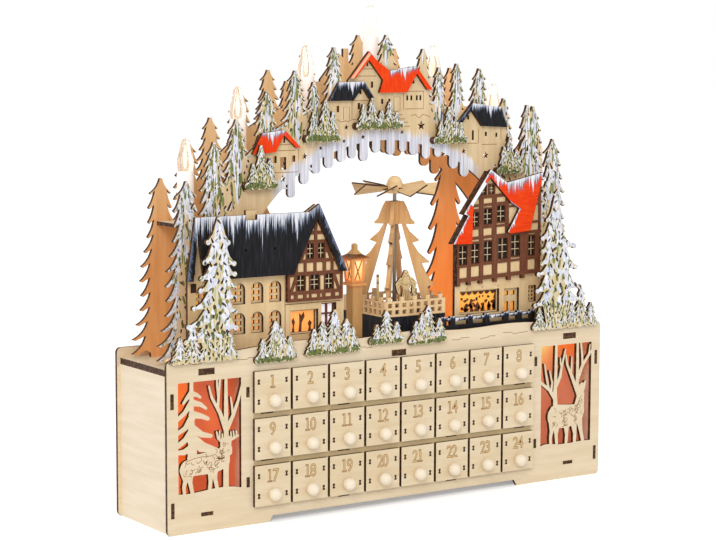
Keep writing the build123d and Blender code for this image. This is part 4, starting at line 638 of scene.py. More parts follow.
def scene_film():
    """Orange film behind the stag and the doe: bright by the lamps, dusky rose away from them."""
    material, tree, shader = new_material("scene_film", Roughness=0.5, Emission_Strength=0.5)
    place = place_of(tree)
    x, z = place["X"], place["Z"]
    by_doe = calc(tree, "GREATER_THAN", x, 0.0)
    left = ramp(tree, x, -166.0, -206.0)
    inner = times(tree, ramp(tree, x, 162.0, 143.0), 0.55)
    right = times(tree, calc(tree, "MAXIMUM", ramp(tree, z, 84.0, 118.0), inner), by_doe)
    cloud = times(tree, minus(tree, noise(tree, object_place(tree), 26.0, 1.0), 0.42), 1.1)
    light = ramp(tree, plus(tree, calc(tree, "MAXIMUM", left, right), cloud), 0.0, 1.0)
    high = times(tree, right, ramp(tree, x, 184.0, 157.0))
    rose = blend(tree, by_doe, srgb(212, 112, 84), srgb(206, 130, 104))
    lit = blend(tree, high, srgb(246, 140, 60), srgb(254, 206, 130))
    tree.links.new(blend(tree, light, rose, lit), shader.inputs["Base Color"])
    dusk = blend(tree, by_doe, srgb(196, 92, 48), srgb(176, 96, 62))
    warm = blend(tree, high, srgb(255, 118, 40), srgb(255, 236, 146))
    tree.links.new(blend(tree, light, dusk, warm), shader.inputs["Emission Color"])
    return material


def stroke_paint(name, first, second):
    """Thick brush paint whose tone differs from stroke to stroke."""
    material, tree, shader = new_material(name, Roughness=0.5, Specular_IOR_Level=0.4)
    tone = add(tree, "ShaderNodeAttribute", attribute_name="tone").outputs["Fac"]
    bristles = noise(tree, stretched(tree, object_place(tree), (900, 900, 220)), 1.0, 2.0)
    share = plus(tree, times(tree, tone, 0.75), times(tree, bristles, 0.3))
    tree.links.new(blend(tree, share, first, second), shader.inputs["Base Color"])
    bump(tree, shader, bristles, 0.4, 0.0002)
    return material


def plain_finish(name, colour, worn, **sockets):
    """One colour with a faint mottle."""
    material, tree, shader = new_material(name, **sockets)
    coordinates = object_place(tree)
    mottle = noise(tree, coordinates, 160.0, 3.0)
    tree.links.new(blend(tree, mottle, colour, worn), shader.inputs["Base Color"])
    bump(tree, shader, noise(tree, coordinates, 900.0), 0.15, 0.0002)
    return material


def glowing(name, low_colour, high_colour, strength, span, front_only=True):
    """A lit pane: from one warm colour below to another above, over a span of heights."""
    material, tree, shader = new_material(name, Roughness=0.5, Emission_Strength=strength)
    cloud = times(tree, noise(tree, object_place(tree), 90.0, 1.0), 0.4)
    light = plus(tree, ramp(tree, place_of(tree)["Z"], *span), cloud)
    colour = blend(tree, light, low_colour, high_colour)
    tree.links.new(colour, shader.inputs["Base Color"])
    if front_only:
        rear = calc(tree, "GREATER_THAN", along_axis(tree, surface_normal(tree), FACE_Y), 0.5)
        colour = blend(tree, rear, colour, UNLIT)
    tree.links.new(colour, shader.inputs["Emission Color"])
    return material


def before_wall(corner):
    """True for the lowest corner of a window that stands in the half-timbering, before the walls."""
    return corner.y < WALL_FRONT - 0.1


def window_bars():
    """Window boards: bare wood behind the walls, a brown door, and cream bars in the half-timbering."""
    slim_rim = 0.6
    material, tree, shader = new_material("window_bars", Roughness=0.6, Specular_IOR_Level=0.3)
    grain = grain_of(tree, GRAIN_Z, HOUSE_PALE, HOUSE_DARK)
    place = place_of(tree)
    front = calc(tree, "LESS_THAN", place["Y"], WALL_FRONT + 0.01)
    bars = None
    for low, high in loose_boxes("house_windows"):
        if before_wall(low):
            inside = fill_group(tree, INSIDE_BOX, {
                "Low": (low.x + slim_rim, 0, low.z + slim_rim),
                "High": (high.x - slim_rim, 0, high.z - slim_rim)})["Inside"]
            bars = calc(tree, "MAXIMUM", bars, inside) if bars else inside
    door = times(tree, calc(tree, "GREATER_THAN", place["X"], DOOR_X[0]),
                 calc(tree, "LESS_THAN", place["X"], DOOR_X[1]))
    face = blend(tree, door, grain["Color"], srgb(112, 62, 60))
    face = blend(tree, front, face, blend(tree, bars, srgb(78, 46, 34), srgb(216, 194, 158)))
    cut_board(tree, shader, face, grain["Height"], 0.2)
    return material


def clear_bulb():
    """Clear rippled plastic with a faint glow."""
    material, tree, shader = new_material(
        "clear_bulb", Base_Color=srgb(255, 246, 236), Roughness=0.05, IOR=1.4, Transmission_Weight=0.85,
        Emission_Strength=0.1)
    ripples = noise(tree, stretched(tree, object_place(tree), (420, 420, 30)), 1.0, 1.0)
    light = blend(tree, ripples, srgb(255, 234, 206), srgb(255, 250, 242))
    tree.links.new(light, shader.inputs["Emission Color"])
    bump(tree, shader, ripples, 0.2, 0.0004)
    return material


def make_finishes():
    """Every CAD node's material, by node."""
    front = plywood("front_plywood", GRAIN_X, FACE_Y)
    house = plywood("house_plywood", GRAIN_Z, FACE_Y, None, HOUSE_PALE, HOUSE_DARK)
    # The sideways boards carry painted light: paler, as lit from the left
    upright = plywood("upright_plywood_painted_lit", GRAIN_Y, FACE_X, None, LIT_SIDE_PALE, LIT_SIDE_DARK)
    level = plywood("level_plywood", GRAIN_X, FACE_Z)
    crossed = plywood("crossed_plywood", GRAIN_Z, FACE_X, FACE_Y, srgb(240, 206, 158), srgb(226, 186, 134))
    fins = plywood("fin_plywood", GRAIN_Z, (DIAGONAL, DIAGONAL, 0), (DIAGONAL, -DIAGONAL, 0),
                   srgb(226, 182, 126), srgb(208, 158, 102))
    figures = plywood("figure_plywood", GRAIN_Z, FACE_Y, None, FIR_PALE, FIR_DARK)
    case = plain_finish("case_plastic", srgb(34, 34, 36), srgb(46, 46, 48), Roughness=0.5)
    black, red = (ROOF_BLACK, srgb(42, 42, 46)), (ROOF_RED, srgb(240, 82, 22))
    finishes = {
        "front_panel": panel_wood(), "back_panel": front, "middle_wall": front, "side_panels": upright,
        "lightbox_walls": upright, "top_boards": level, "bottom_panel": level, "drawer_grid": level,
        "arch_bridges": level, "scene_backings": scene_film(), "house_walls": house,
        "front_arch": arch_wood(), "back_arch": lit_wood(), "house_windows": window_bars(),
        "arch_trees": washed_fir("arch_fir_wash", 0.9), "front_trees": washed_fir("front_fir_wash", 0.85),
        "house_timbers": painted("timber_stain", TIMBER_BROWN, srgb(130, 80, 56), (500, 500, 90)),
        "left_house_roof": snowed_roof("left_roof_paint", "left_house_roof", black, 27.0, 0.6),
        "right_house_roof": snowed_roof("right_roof_paint", "right_house_roof", red, 19.0, 1.3,
                                        BRUSHED_IN_COURSES),
        "arch_red_roofs": snowed_roof("arch_red_paint", "arch_red_roofs", red, 11.0, 1.0,
                                      flattest=0.85, bare_verge=ARCH_PALE),
        "arch_black_roofs": snowed_roof("arch_black_paint", "arch_black_roofs", black, 11.0, 0.4),
        "village_fence": snowed_roof("fence_paint", "village_fence", black, 5.0, 1.0),
        "pyramid_base": painted("base_black", ROOF_BLACK, srgb(50, 52, 58), edge=False),
        "pyramid_fence": crossed, "pyramid_fins": fins, "pyramid_figures": figures,
        "rotor_wheel": rotor_wood(), "lantern": lantern_wood(), "candle_tips": clear_bulb(),
        "rotor_spindle": plain_finish("spindle_steel", srgb(120, 112, 102), srgb(150, 140, 128),
                                      Roughness=0.35, Metallic=0.9),
        # The candle sleeves carry a faint painted glow, though only the bulbs are lamps
        "candle_sleeves": plain_finish("candle_sleeve", CANDLE_WHITE, srgb(255, 246, 240), Roughness=0.4,
                                       Emission_Color=srgb(255, 222, 202), Emission_Strength=0.12),
        "battery_case": case, "battery_cover": case, "switch_slider": case,
        "battery_cells": plain_finish("cell_jacket", srgb(120, 126, 132), srgb(140, 146, 152),
                                      Roughness=0.35, Metallic=0.8),
        "led_modules": plain_finish("light_strip", srgb(240, 232, 210), srgb(250, 244, 226), Roughness=0.4,
                                    Emission_Color=srgb(255, 190, 110), Emission_Strength=0.4)}
    drawer = drawer_wood()
    for number in range(1, DRAWERS + 1):
        finishes[f"drawer_{number:02d}"] = drawer
    return finishes


def dress(finishes):
    """Gives every CAD node its one material."""
    for name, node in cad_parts.items():
        node.data.materials.clear()
        node.data.materials.append(finishes[name])


# Making pieces


def link(obj):
    bpy.context.scene.collection.objects.link(obj)
    return obj


def piece(name, mesh, body):
    """A finished mesh as a piece that rides on a body."""
    obj = link(bpy.data.objects.new(name, mesh))
    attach(obj, body)
    return obj


def mesh_of(name, shapes, materials):
    """A mesh from shapes of corner points in millimetres, faces and a material number."""
    mesh = bpy.data.meshes.new(name)
    corners, faces, numbers = [], [], []
    for points, polygons, number in shapes:
        start = len(corners)
        corners += [Vector(point) * MM for point in points]
        faces += [[start + corner for corner in polygon] for polygon in polygons]
        numbers += [number] * len(polygons)
    mesh.from_pydata(corners, [], faces)
    mesh.polygons.foreach_set("material_index", numbers)
    for material in materials:
        mesh.materials.append(material)
    work = bmesh.new()
    work.from_mesh(mesh)
    bmesh.ops.recalc_face_normals(work, faces=work.faces)
    work.to_mesh(mesh)
    work.free()
    return mesh


def plate(outline, y_front, thickness, number=0):
    """A thin plate cut from an outline of (x, z) points, running back from y_front."""
    count = len(outline)
    points = [(x, y_front, z) for x, z in outline] + [(x, y_front + thickness, z) for x, z in outline]
    sides = [[i, (i + 1) % count, count + (i + 1) % count, count + i] for i in range(count)]
    return points, [list(range(count)), list(range(2 * count - 1, count - 1, -1))] + sides, number


def box_outline(x0, x1, z0, z1):
    return [(x0, z0), (x1, z0), (x1, z1), (x0, z1)]


def ribbon(points, width, y_front, thickness=0.08, number=0):
    """A flat engraved line along (x, z) points."""
    left, right = [], []
    for i, (x, z) in enumerate(points):
        x0, z0 = points[max(i - 1, 0)]
        x1, z1 = points[min(i + 1, len(points) - 1)]
        length = math.hypot(x1 - x0, z1 - z0)
        nx, nz = -(z1 - z0) / length * width / 2, (x1 - x0) / length * width / 2
        left.append((x + nx, z + nz))
        right.append((x - nx, z - nz))
    count = len(points)
    front = [(x, y_front, z) for x, z in left] + [(x, y_front, z) for x, z in right]
    rear = [(x, y + thickness, z) for x, y, z in front]
    faces = []
    for i in range(count - 1):
        faces.append([i, i + 1, count + i + 1, count + i])
        faces.append([2 * count + i, 3 * count + i, 3 * count + i + 1, 2 * count + i + 1])
        faces.append([i, 2 * count + i, 2 * count + i + 1, i + 1])
        faces.append([count + i, count + i + 1, 3 * count + i + 1, 3 * count + i])
    faces.append([0, count, 3 * count, 2 * count])
    faces.append([count - 1, 3 * count - 1, 4 * count - 1, 2 * count - 1])
    return front + rear, faces, number


# Brush strokes

# How often a stroke that runs off its board is made smaller and tried again
STROKE_TRIES = 5
# How thick the later coats are, beside the snow
LEAF_COAT, BUSH_COAT, SLIT_COAT = 1.3, 1.6, 1.8


def make_stroke():
    """One dab of thick paint, 1 wide and 1 long, running down from the origin with rounded ends."""
    stations = ((0.0, 0.0, 0.0), (0.1, 0.34, 0.6), (0.4, 0.5, 1.0), (0.74, 0.42, 0.9), (0.93, 0.2, 0.5),
                (1.0, 0.0, 0.0))
    height = 0.16 * MM
    work = bmesh.new()
    rows = []
    for share, half, rise in stations:
        section = ((-half, 0), (0, -rise * height), (half, 0)) if half else ((0, 0),)
        rows.append([work.verts.new((x, y, -share)) for x, y in section])
    for upper, lower in zip(rows, rows[1:]):
        if len(upper) == 1 or len(lower) == 1:
            tip, row = (upper[0], lower) if len(upper) == 1 else (lower[0], upper)
            for n in range(3):
                work.faces.new((tip, row[n], row[(n + 1) % 3]))
        else:
            for n in range(3):
                work.faces.new((upper[n], upper[(n + 1) % 3], lower[(n + 1) % 3], lower[n]))
    bmesh.ops.recalc_face_normals(work, faces=work.faces)
    mesh = bpy.data.meshes.new("paint_stroke")
    work.to_mesh(mesh)
    work.free()
    return link(bpy.data.objects.new("paint_stroke", mesh))


def make_stroke_tree():
    """Puts a stroke of paint on every place, as wide, long and leaning as the place says."""
    tree = bpy.data.node_groups.new("brush_strokes", "GeometryNodeTree")
    kinds = {"Places": "Geometry", "Stroke": "Object", "Paint": "Material", "Thickness": "Float"}
    sockets = {}
    for label, kind in kinds.items():
        socket = tree.interface.new_socket(label, in_out="INPUT", socket_type="NodeSocket" + kind)
        sockets[label] = socket.identifier
    tree.interface.new_socket("Strokes", in_out="OUTPUT", socket_type="NodeSocketGeometry")
    inputs = tree.nodes.new("NodeGroupInput").outputs
    outputs = tree.nodes.new("NodeGroupOutput").inputs

    def named(label):
        node = add(tree, "GeometryNodeInputNamedAttribute", {"Name": label}, data_type="FLOAT")
        return node.outputs["Attribute"]

    points = add(tree, "GeometryNodeMeshToPoints", {"Mesh": inputs["Places"]}).outputs[0]
    stroke = add(tree, "GeometryNodeObjectInfo", {"Object": inputs["Stroke"]}).outputs["Geometry"]
    turn = add(tree, "ShaderNodeCombineXYZ", {"Y": named("lean")}).outputs[0]
    size = add(tree, "ShaderNodeCombineXYZ", {
        "X": named("width"), "Y": inputs["Thickness"], "Z": named("length")}).outputs[0]
    strokes = add(tree, "GeometryNodeInstanceOnPoints", {
        "Points": points, "Instance": stroke, "Rotation": turn, "Scale": size}).outputs[0]
    solid = add(tree, "GeometryNodeRealizeInstances", {0: strokes}).outputs[0]
    coated = add(tree, "GeometryNodeSetMaterial", {"Geometry": solid, "Material": inputs["Paint"]}).outputs[0]
    tree.links.new(coated, outputs["Strokes"])
    return tree, sockets


STROKE = make_stroke()
STROKE_TREE, STROKE_SOCKETS = make_stroke_tree()


def brush(name, places, paint, thickness=1.0):
    """One mesh of strokes from places of x, y, z, lean, width, length and tone."""
    mesh = bpy.data.meshes.new(name + "_places")
    mesh.from_pydata([Vector(place[:3]) * MM for place in places], [], [])
    columns = list(zip(*places))
    scales = {"lean": 1, "width": MM, "length": MM, "tone": 1}
    for (label, scale), values in zip(scales.items(), columns[3:]):
        layer = mesh.attributes.new(label, "FLOAT", "POINT")
        layer.data.foreach_set("value", [value * scale for value in values])
    carrier = link(bpy.data.objects.new(name + "_places", mesh))
    modifier = carrier.modifiers.new("strokes", "NODES")
    modifier.node_group = STROKE_TREE
    modifier[STROKE_SOCKETS["Stroke"]] = STROKE
    modifier[STROKE_SOCKETS["Paint"]] = paint
    modifier[STROKE_SOCKETS["Thickness"]] = thickness
    depsgraph = bpy.context.evaluated_depsgraph_get()
    result = bpy.data.meshes.new_from_object(carrier.evaluated_get(depsgraph), preserve_all_data_layers=True,
                                             depsgraph=depsgraph)
    result.name = name
    carrier.modifiers.remove(modifier)
    bpy.data.objects.remove(carrier)
    return piece(name, result, "cabinet")


def stroke_place(face, rng, start, along, width, length):
    """A stroke's place on a face, each lifted a little differently so that no two lie in one plane."""
    lift, spread = 0.01, 0.06
    lean = math.atan2(-along.x, -along.y)
    return (start.x, face.y - lift - spread * rng.random(), start.y, lean, width, length, rng.random())


def turned(vector, angle):
    return Vector((vector.x * math.cos(angle) - vector.y * math.sin(angle),
                   vector.x * math.sin(angle) + vector.y * math.cos(angle)))


def edge_strokes(face, rng, wanted, widths, lengths, spacing, inset):
    """Strokes laid along the upper and outer outlines, as snow lies on branch ends."""
    steepest, jitter, narrower, shorter = -0.1, 0.35, 0.82, 0.72
    places = []
    for start, end, outward in face.outline:
        if outward.y < steepest:
            continue
        along = (end - start).normalized()
        if along.y > 0:
            along.negate()
        for _ in range(int((end - start).length / spacing + rng.random())):
            point = start.lerp(end, rng.random())
            if not wanted(point.x, point.y):
                continue
            width, length = rng.uniform(*widths), rng.uniform(*lengths)
            for _ in range(STROKE_TRIES):
                direction = turned(along, rng.uniform(-jitter, jitter))
                root = point - outward * (inset * rng.random() + 0.5 * width) - direction * (0.5 * length)
                if face.fits(root, direction, width, length):
                    places.append(stroke_place(face, rng, root, direction, width, length))
                    break
                width, length = width * narrower, length * shorter
    return places


def dabs(face, rng, wanted, widths, lengths, tries, deep, apart, jitter=0.4, areas=None):
    """Dabs hanging down, each so deep inside the outline and so far from the others."""
    areas = areas or [(face.low.x, face.high.x, face.low.y, face.high.y)]
    places, middles = [], []
    for _ in range(tries):
        x0, x1, z0, z1 = rng.choice(areas)
        point = Vector((rng.uniform(x0, x1), rng.uniform(z0, z1)))
        width, length = rng.uniform(*widths), rng.uniform(*lengths)
        direction = turned(Vector((0, -1)), rng.uniform(-jitter, jitter))
        middle = point + direction * (0.5 * length)
        if not wanted(point.x, point.y) or not face.holds(middle.x, middle.y):
            continue
        if face.depth(middle.x, middle.y) < deep or any((other - middle).length < apart for other in middles):
            continue
        if face.fits(point, direction, width, length):
            places.append(stroke_place(face, rng, point, direction, width, length))
            middles.append(middle)
    return places


def trunk_strokes(face, rng, wanted, widths, lengths, reach, offset, step):
    """Long upright strokes that follow each fir's trunk down from its tip."""
    first_drop, full_offset, jitter, narrower, shorter = 0.5, 25, 0.1, 0.8, 0.75
    places = []
    for x, z in fir_tips(face):
        drop = first_drop
        while drop < reach:
            width, length = rng.uniform(*widths), rng.uniform(*lengths)
            shift = rng.uniform(-offset, offset) * min(1.0, 0.15 + drop / full_offset)
            root = Vector((x + shift, z - drop))
            direction = turned(Vector((0, -1)), rng.uniform(-jitter, jitter))
            for _ in range(STROKE_TRIES):
                if wanted(root.x, root.y) and face.fits(root, direction, width, length):
                    places.append(stroke_place(face, rng, root, direction, width, length))
                    break
                width, length = width * narrower, length * shorter
            drop += rng.uniform(*step)
    return places


def fir_tips(face):
    """The flat-cut tips of the firs on a board's outline."""
    crown = 2.0
    return [tuple(start.lerp(end, 0.5)) for start, end, outward in face.outline
            if outward.y > 0.99 and abs((end - start).length - crown) < 0.05]


def bush_areas(boxes, rng, heights):
    """Uneven banks at the clumps' feet, as x and height ranges."""
    width = 5.0
    areas = []
    for low, high in boxes:
        for n in range(int((high.x - low.x) / width)):
            x = low.x + n * width
            areas.append((x, x + width, low.z, low.z + rng.uniform(*heights)))
    return areas


def paint_front_trees(snow, green, bush, slit):
    """Broad patches on the two tall firs, fine ones on the firs and bushes at their feet."""
    foot, clump_height = PANEL_TOP + 20, 30
    face = BoardFace("front_trees")
    rng = random.Random(11)
    clumps = [(low, high) for low, high in loose_boxes("front_trees") if high.z < foot + clump_height]
    feet = bush_areas(clumps, rng, (2.0, 7.0))

    def tall(x, z):
        return z > foot

    def small(x, z):
        return z <= foot

    places = edge_strokes(face, rng, tall, (2.2, 4.2), (4.0, 8.0), spacing=0.8, inset=4.2)
    places += dabs(face, rng, tall, (2.2, 3.4), (4.0, 7.0), tries=1500, deep=4.0, apart=13.0)
    places += edge_strokes(face, rng, small, (0.8, 1.5), (1.8, 4.0), spacing=1.0, inset=1.8)
    places += trunk_strokes(face, rng, small, (1.1, 2.0), (4.0, 8.0), reach=12, offset=1.2, step=(1.2, 2.4))
    places += dabs(face, rng, small, (0.8, 1.5), (2.6, 6.0), tries=2500, deep=0.9, apart=3.4)
    brush("front_tree_snow", places, snow)
    leaves = dabs(face, rng, tall, (1.8, 3.6), (4.5, 8.5), tries=8000, deep=2.4, apart=5.0)
    leaves += edge_strokes(face, rng, tall, (1.2, 2.0), (3.0, 6.0), spacing=9.0, inset=5.0)
    leaves += edge_strokes(face, rng, small, (0.6, 1.1), (2.0, 4.5), spacing=2.6, inset=2.6)
    leaves += dabs(face, rng, small, (0.7, 1.4), (2.6, 6.0), tries=5000, deep=0.8, apart=2.2)
    brush("front_tree_green", leaves, green, LEAF_COAT)
    tufts = dabs(face, rng, small, (1.2, 2.6), (1.5, 3.2), tries=6000, deep=0.5, apart=0.9, jitter=0.9,
                 areas=feet)
    brush("front_bushes", tufts, bush, BUSH_COAT)
    slits = dabs(face, rng, tall, (1.9, 2.9), (3.0, 5.4), tries=12000, deep=1.5, apart=5.6, jitter=1.0)
    slits += dabs(face, rng, small, (1.0, 1.6), (1.8, 3.6), tries=9000, deep=0.7, apart=3.0, jitter=0.9)
    brush("front_tree_slits", slits, slit, SLIT_COAT)


def paint_arch_trees(snow, green, bush, slit):
    """Fine patches all over the fir clumps that are set on the arch."""
    face = BoardFace("arch_trees")
    rng = random.Random(12)
    clumps = loose_boxes("arch_trees")
    areas = [(low.x, high.x, low.z, high.z) for low, high in clumps]
    feet = bush_areas(clumps, rng, (2.5, 8.0))

    def everywhere(x, z):
        return True

    places = edge_strokes(face, rng, everywhere, (0.7, 1.3), (1.6, 3.4), spacing=1.1, inset=1.2)
    places += trunk_strokes(face, rng, everywhere, (1.0, 1.7), (3.0, 7.0), reach=10, offset=1.0,
                            step=(1.2, 2.4))
    places += dabs(face, rng, everywhere, (0.7, 1.3), (2.4, 5.0), tries=800, deep=0.8, apart=3.6, areas=areas)
    brush("arch_clump_snow", places, snow)
    leaves = edge_strokes(face, rng, everywhere, (0.6, 1.1), (1.8, 4.0), spacing=2.2, inset=2.0)
    leaves += dabs(face, rng, everywhere, (0.7, 1.4), (2.2, 5.5), tries=3000, deep=0.7, apart=1.9,
                   areas=areas)
    brush("arch_clump_green", leaves, green, LEAF_COAT)
    tufts = dabs(face, rng, everywhere, (1.2, 2.4), (1.5, 3.0), tries=4000, deep=0.5, apart=0.9, jitter=0.9,
                 areas=feet)
    brush("arch_bushes", tufts, bush, BUSH_COAT)
    slits = dabs(face, rng, everywhere, (0.9, 1.5), (1.7, 3.4), tries=3000, deep=0.6, apart=2.5, jitter=0.9,
                 areas=areas)
    brush("arch_clump_slits", slits, slit, SLIT_COAT)


def paint_front_arch(snow, green, slit):
    """Snow and green on the arch's firs, but not on its houses or its open hillside."""
    hillside, end_fir_x, end_fir_top, wall_drop = ARCH_INNER + 22, 152, DECK + 150, 28
    face = BoardFace("front_arch")
    rng = random.Random(13)
    houses = loose_boxes("arch_red_roofs") + loose_boxes("arch_black_roofs")

    def on_a_fir(x, z):
        if math.hypot(x, z - DECK - ARCH_CENTRE) < hillside:
            return False
        return not any(low.x - 1 < x < high.x + 1 and low.z - wall_drop < z < high.z + 1
                       for low, high in houses)

    def on_an_end_fir(x, z):
        return abs(x) > end_fir_x and z < end_fir_top

    places = edge_strokes(face, rng, on_a_fir, (0.8, 1.6), (1.8, 4.0), spacing=1.5, inset=1.2)
    places += edge_strokes(face, rng, on_an_end_fir, (1.6, 3.2), (3.0, 6.5), spacing=0.9, inset=2.4)
    places += trunk_strokes(face, rng, on_a_fir, (1.4, 3.0), (9.0, 20.0), reach=52, offset=4.0,
                            step=(1.8, 4.2))
    brush("arch_fir_snow", places, snow)
    leaves = trunk_strokes(face, rng, on_a_fir, (1.0, 2.2), (6.0, 13.0), reach=60, offset=7.5,
                           step=(1.1, 2.4))
    leaves += edge_strokes(face, rng, on_a_fir, (0.7, 1.2), (2.0, 4.5), spacing=3.0, inset=2.2)
    leaves += dabs(face, rng, on_an_end_fir, (1.4, 2.8), (4.0, 8.0), tries=12000, deep=2.0, apart=7.0)
    brush("arch_fir_green", leaves, green, LEAF_COAT)
    slits = dabs(face, rng, on_a_fir, (1.1, 1.8), (2.2, 4.4), tries=16000, deep=0.8, apart=4.4, jitter=0.9)
    brush("arch_fir_slits", slits, slit, SLIT_COAT)


# Drawer marks and engraving


def numeral_mesh(text, height, narrow, grow):
    """Flat numerals in the X and Y plane, slabs on the ones, with their outline moved out by grow."""
    step, thickness = 0.36 * height, 0.08 * MM
    foot, flag, slab = 4.0 * MM, 1.6 * MM, 0.9 * MM
    work = bmesh.new()
    for place, digit in enumerate(text):
        curve = bpy.data.curves.new("numeral", "FONT")
        curve.body = digit
        curve.size = height
        curve.align_x = "CENTER"
        curve.align_y = "CENTER"
        curve.resolution_u = 4
        curve.offset = grow
        curve.extrude = thickness / 2
        holder = link(bpy.data.objects.new("numeral", curve))
        depsgraph = bpy.context.evaluated_depsgraph_get()
        mesh = bpy.data.meshes.new_from_object(holder.evaluated_get(depsgraph), depsgraph=depsgraph)
        bpy.data.objects.remove(holder)
        x = (place - (len(text) - 1) / 2) * step
        mesh.transform(Matrix.Translation((x, 0, 0)) @ Matrix.Diagonal((narrow, 1, 1, 1)))
        work.from_mesh(mesh)
        if digit == "1":
            low = min(vertex.co.y for vertex in mesh.vertices) + grow + slab / 2
            high = max(vertex.co.y for vertex in mesh.vertices) - grow - slab / 2
            for middle, y, width in ((x, low, foot), (x - flag / 2, high, flag)):
                size = Matrix.Diagonal((width + 2 * grow, slab + 2 * grow, thickness, 1))
                bmesh.ops.create_cube(work, size=1, matrix=Matrix.Translation((middle, y, 0)) @ size)
    joined = bpy.data.meshes.new("numeral")
    work.to_mesh(joined)
    work.free()
    return joined


def mark_drawers(engraved, char, pale):
    """Each drawer's numeral, and the charred tab ends that show in its front."""
    numeral_drop, numeral_size, narrow, line = 9.2, 14.2, 0.84, 0.28
    tab_x, tab_lows, tab_thickness = 12.4, (6.3, 21.8), 0.06
    # A tab end's three steps: half its width, and its heights above the tab's foot
    tab_steps = ((1.1, 0.0, 1.4), (0.7, 1.4, 2.6), (1.1, 2.6, 4.0))
    for number in range(1, DRAWERS + 1):
        node = f"drawer_{number:02d}"
        low, high = (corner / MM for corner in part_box(node))
        centre = (low.x + high.x) / 2
        y = low.y + KNOB_REACH
        shapes = []
        for x in (centre - tab_x, centre + tab_x):
            for z in (low.z + rise for rise in tab_lows):
                for half, start, end in tab_steps:
                    outline = box_outline(x - half, x + half, z + start, z + end)
                    shapes.append(plate(outline, y - LIFT, tab_thickness, 1))
        mesh = mesh_of(node + "_marks", shapes, [engraved, char, pale])
        work = bmesh.new()
        work.from_mesh(mesh)
        for grow, lift, slot in ((line, 0.0, 0), (-line, LIFT, 2)):
            figure = numeral_mesh(str(number), numeral_size * MM, narrow, grow * MM)
            place = Matrix.Translation((centre * MM, (y - lift) * MM, (high.z - numeral_drop) * MM))
            figure.transform(place @ Matrix.Rotation(math.pi / 2, 4, "X"))
            figure.polygons.foreach_set("material_index", [slot] * len(figure.polygons))
            work.from_mesh(figure)
        work.to_mesh(mesh)
        work.free()
        piece(node + "_marks", mesh, node)


# Engraved lines on the arch's houses: x and height above the deck
ARCH_LINES = (
    ((-107, 162), (-107, 143), (-76.5, 143), (-76.5, 161)), ((-97, 160), (-79, 160)),
    ((-96, 164.6), (-84, 164.6)), ((-34.5, 183), (-34.5, 193), (-28.8, 193), (-28.8, 183)),
    ((-26.5, 183.5), (-26.5, 198)), ((-26.5, 198), (-10, 198)),
    ((-44, 183.3), (-39.7, 182.9), (-36.9, 181.2), (-33, 182), (-29.3, 181.5), (-26.4, 183), (-22.6, 183)),
    ((-22.8, 223), (-6.5, 223)), ((-24.6, 217.3), (-3.6, 217.3)), ((-19.5, 229.4), (-9.4, 229.4)),
    ((14, 188.8), (14, 200.5), (20, 200.5), (20, 189)), ((22.8, 204.8), (43, 204.8)),
    ((24.9, 190.6), (43.2, 190.6), (43.2, 204.8)), ((23.4, 189.8), (23.4, 204.3)),
    ((10.2, 188.8), (19, 188.8)), ((14, 186), (22, 186)), ((17, 182.7), (25, 182.7)),
    ((19, 179.8), (28, 179.8)), ((20, 176.6), (30, 176.6)),
    ((30.8, 185), (34.8, 186), (38.8, 183), (42.7, 186), (46.8, 185), (49.8, 183.7)),
    ((99.4, 173.4), (99.4, 161)), ((81.4, 161.6), (98, 161.2)), ((103, 160), (118.8, 160)),
    ((122.8, 173), (122.8, 164)))
# Lines on the left house's wall: x and height above the deck
WALL_LINES = (((-97.5, 4), (-97.5, 64)), ((-97.5, 41), (-46, 41)))
# Snow lines on the front panel: x and height above the floor
PANEL_LINES = (
    ((81, 127.1), (89, 128), (91.4, 129), (97, 128.6)),
    ((104.7, 130.6), (114.8, 130.2), (114.9, 128.9), (130.7, 129.6)),
    ((52, 128.6), (60, 128.2), (62, 129.6), (70, 129.4)),
    ((-199, 129.5), (-190, 130), (-187, 128.8), (-180, 129)),
    ((-150, 129.4), (-141, 128.8), (-139, 130), (-132, 129.8)),
    ((-40, 129.6), (-33, 130), (-31, 128.8), (-26, 129)))
# The stag's back, face and neck: x and height above the floor
STAG_LINES = (
    ((-195, 51), (-193.6, 55.4), (-187, 57.2), (-180.6, 57.8), (-174, 57.6), (-168, 58.4)),
    ((-162.6, 65.4), (-161.6, 65.8), (-160.8, 65.2)), ((-158.8, 65.2), (-158, 65.7), (-157.2, 65)),
    ((-158.6, 60.6), (-157.4, 60.1), (-156.4, 60.9)), ((-165, 62), (-163.4, 58), (-161.6, 55)))
# Where the stag's and the doe's coats are engraved: x, height above the floor, and half sizes
COATS = (
    (-186, 49, 10, 7), (-173, 50, 8, 7), (-165, 58, 4, 6),
    (166, 52, 8, 7), (178, 52, 8, 7), (187, 62, 4, 6))
# The angel's folds, hair and belt, and one side's wing: x from its middle and height above its foot
ANGEL_LINES = (
    ((-4.4, 1), (-3, 8), (-1.8, 20)), ((-1.2, 1), (-0.6, 9), (-0.4, 19)), ((2, 1), (1.4, 9), (0.8, 19)),
    ((4.8, 1), (3.4, 8), (2, 20)), ((-2.2, 24.2), (0, 22.6), (2.2, 24.2)),
    ((-3.6, 27), (-3, 30), (-1.6, 31.4), (-0.6, 30)), ((3.6, 27), (3, 30), (1.6, 31.4), (0.6, 30)),
    ((-1.8, 33.6), (-0.4, 32.2), (1.4, 33.8)))
WING_LINES = (
    ((3, 23.6), (5.2, 28), (8.2, 26)), ((3, 21), (5.6, 25.6), (8.6, 23)),
    ((3.4, 18.6), (5.8, 22.6), (8, 19.6)))
# Small hooks on the wall above the right shop: x and height above the deck; half a hook's width, its height
SHOP_HOOKS = ((78.8, 41.4), (94.4, 41.7), (111.0, 42.0))
HOOK_HALF, HOOK_HEIGHT = 0.9, 1.8
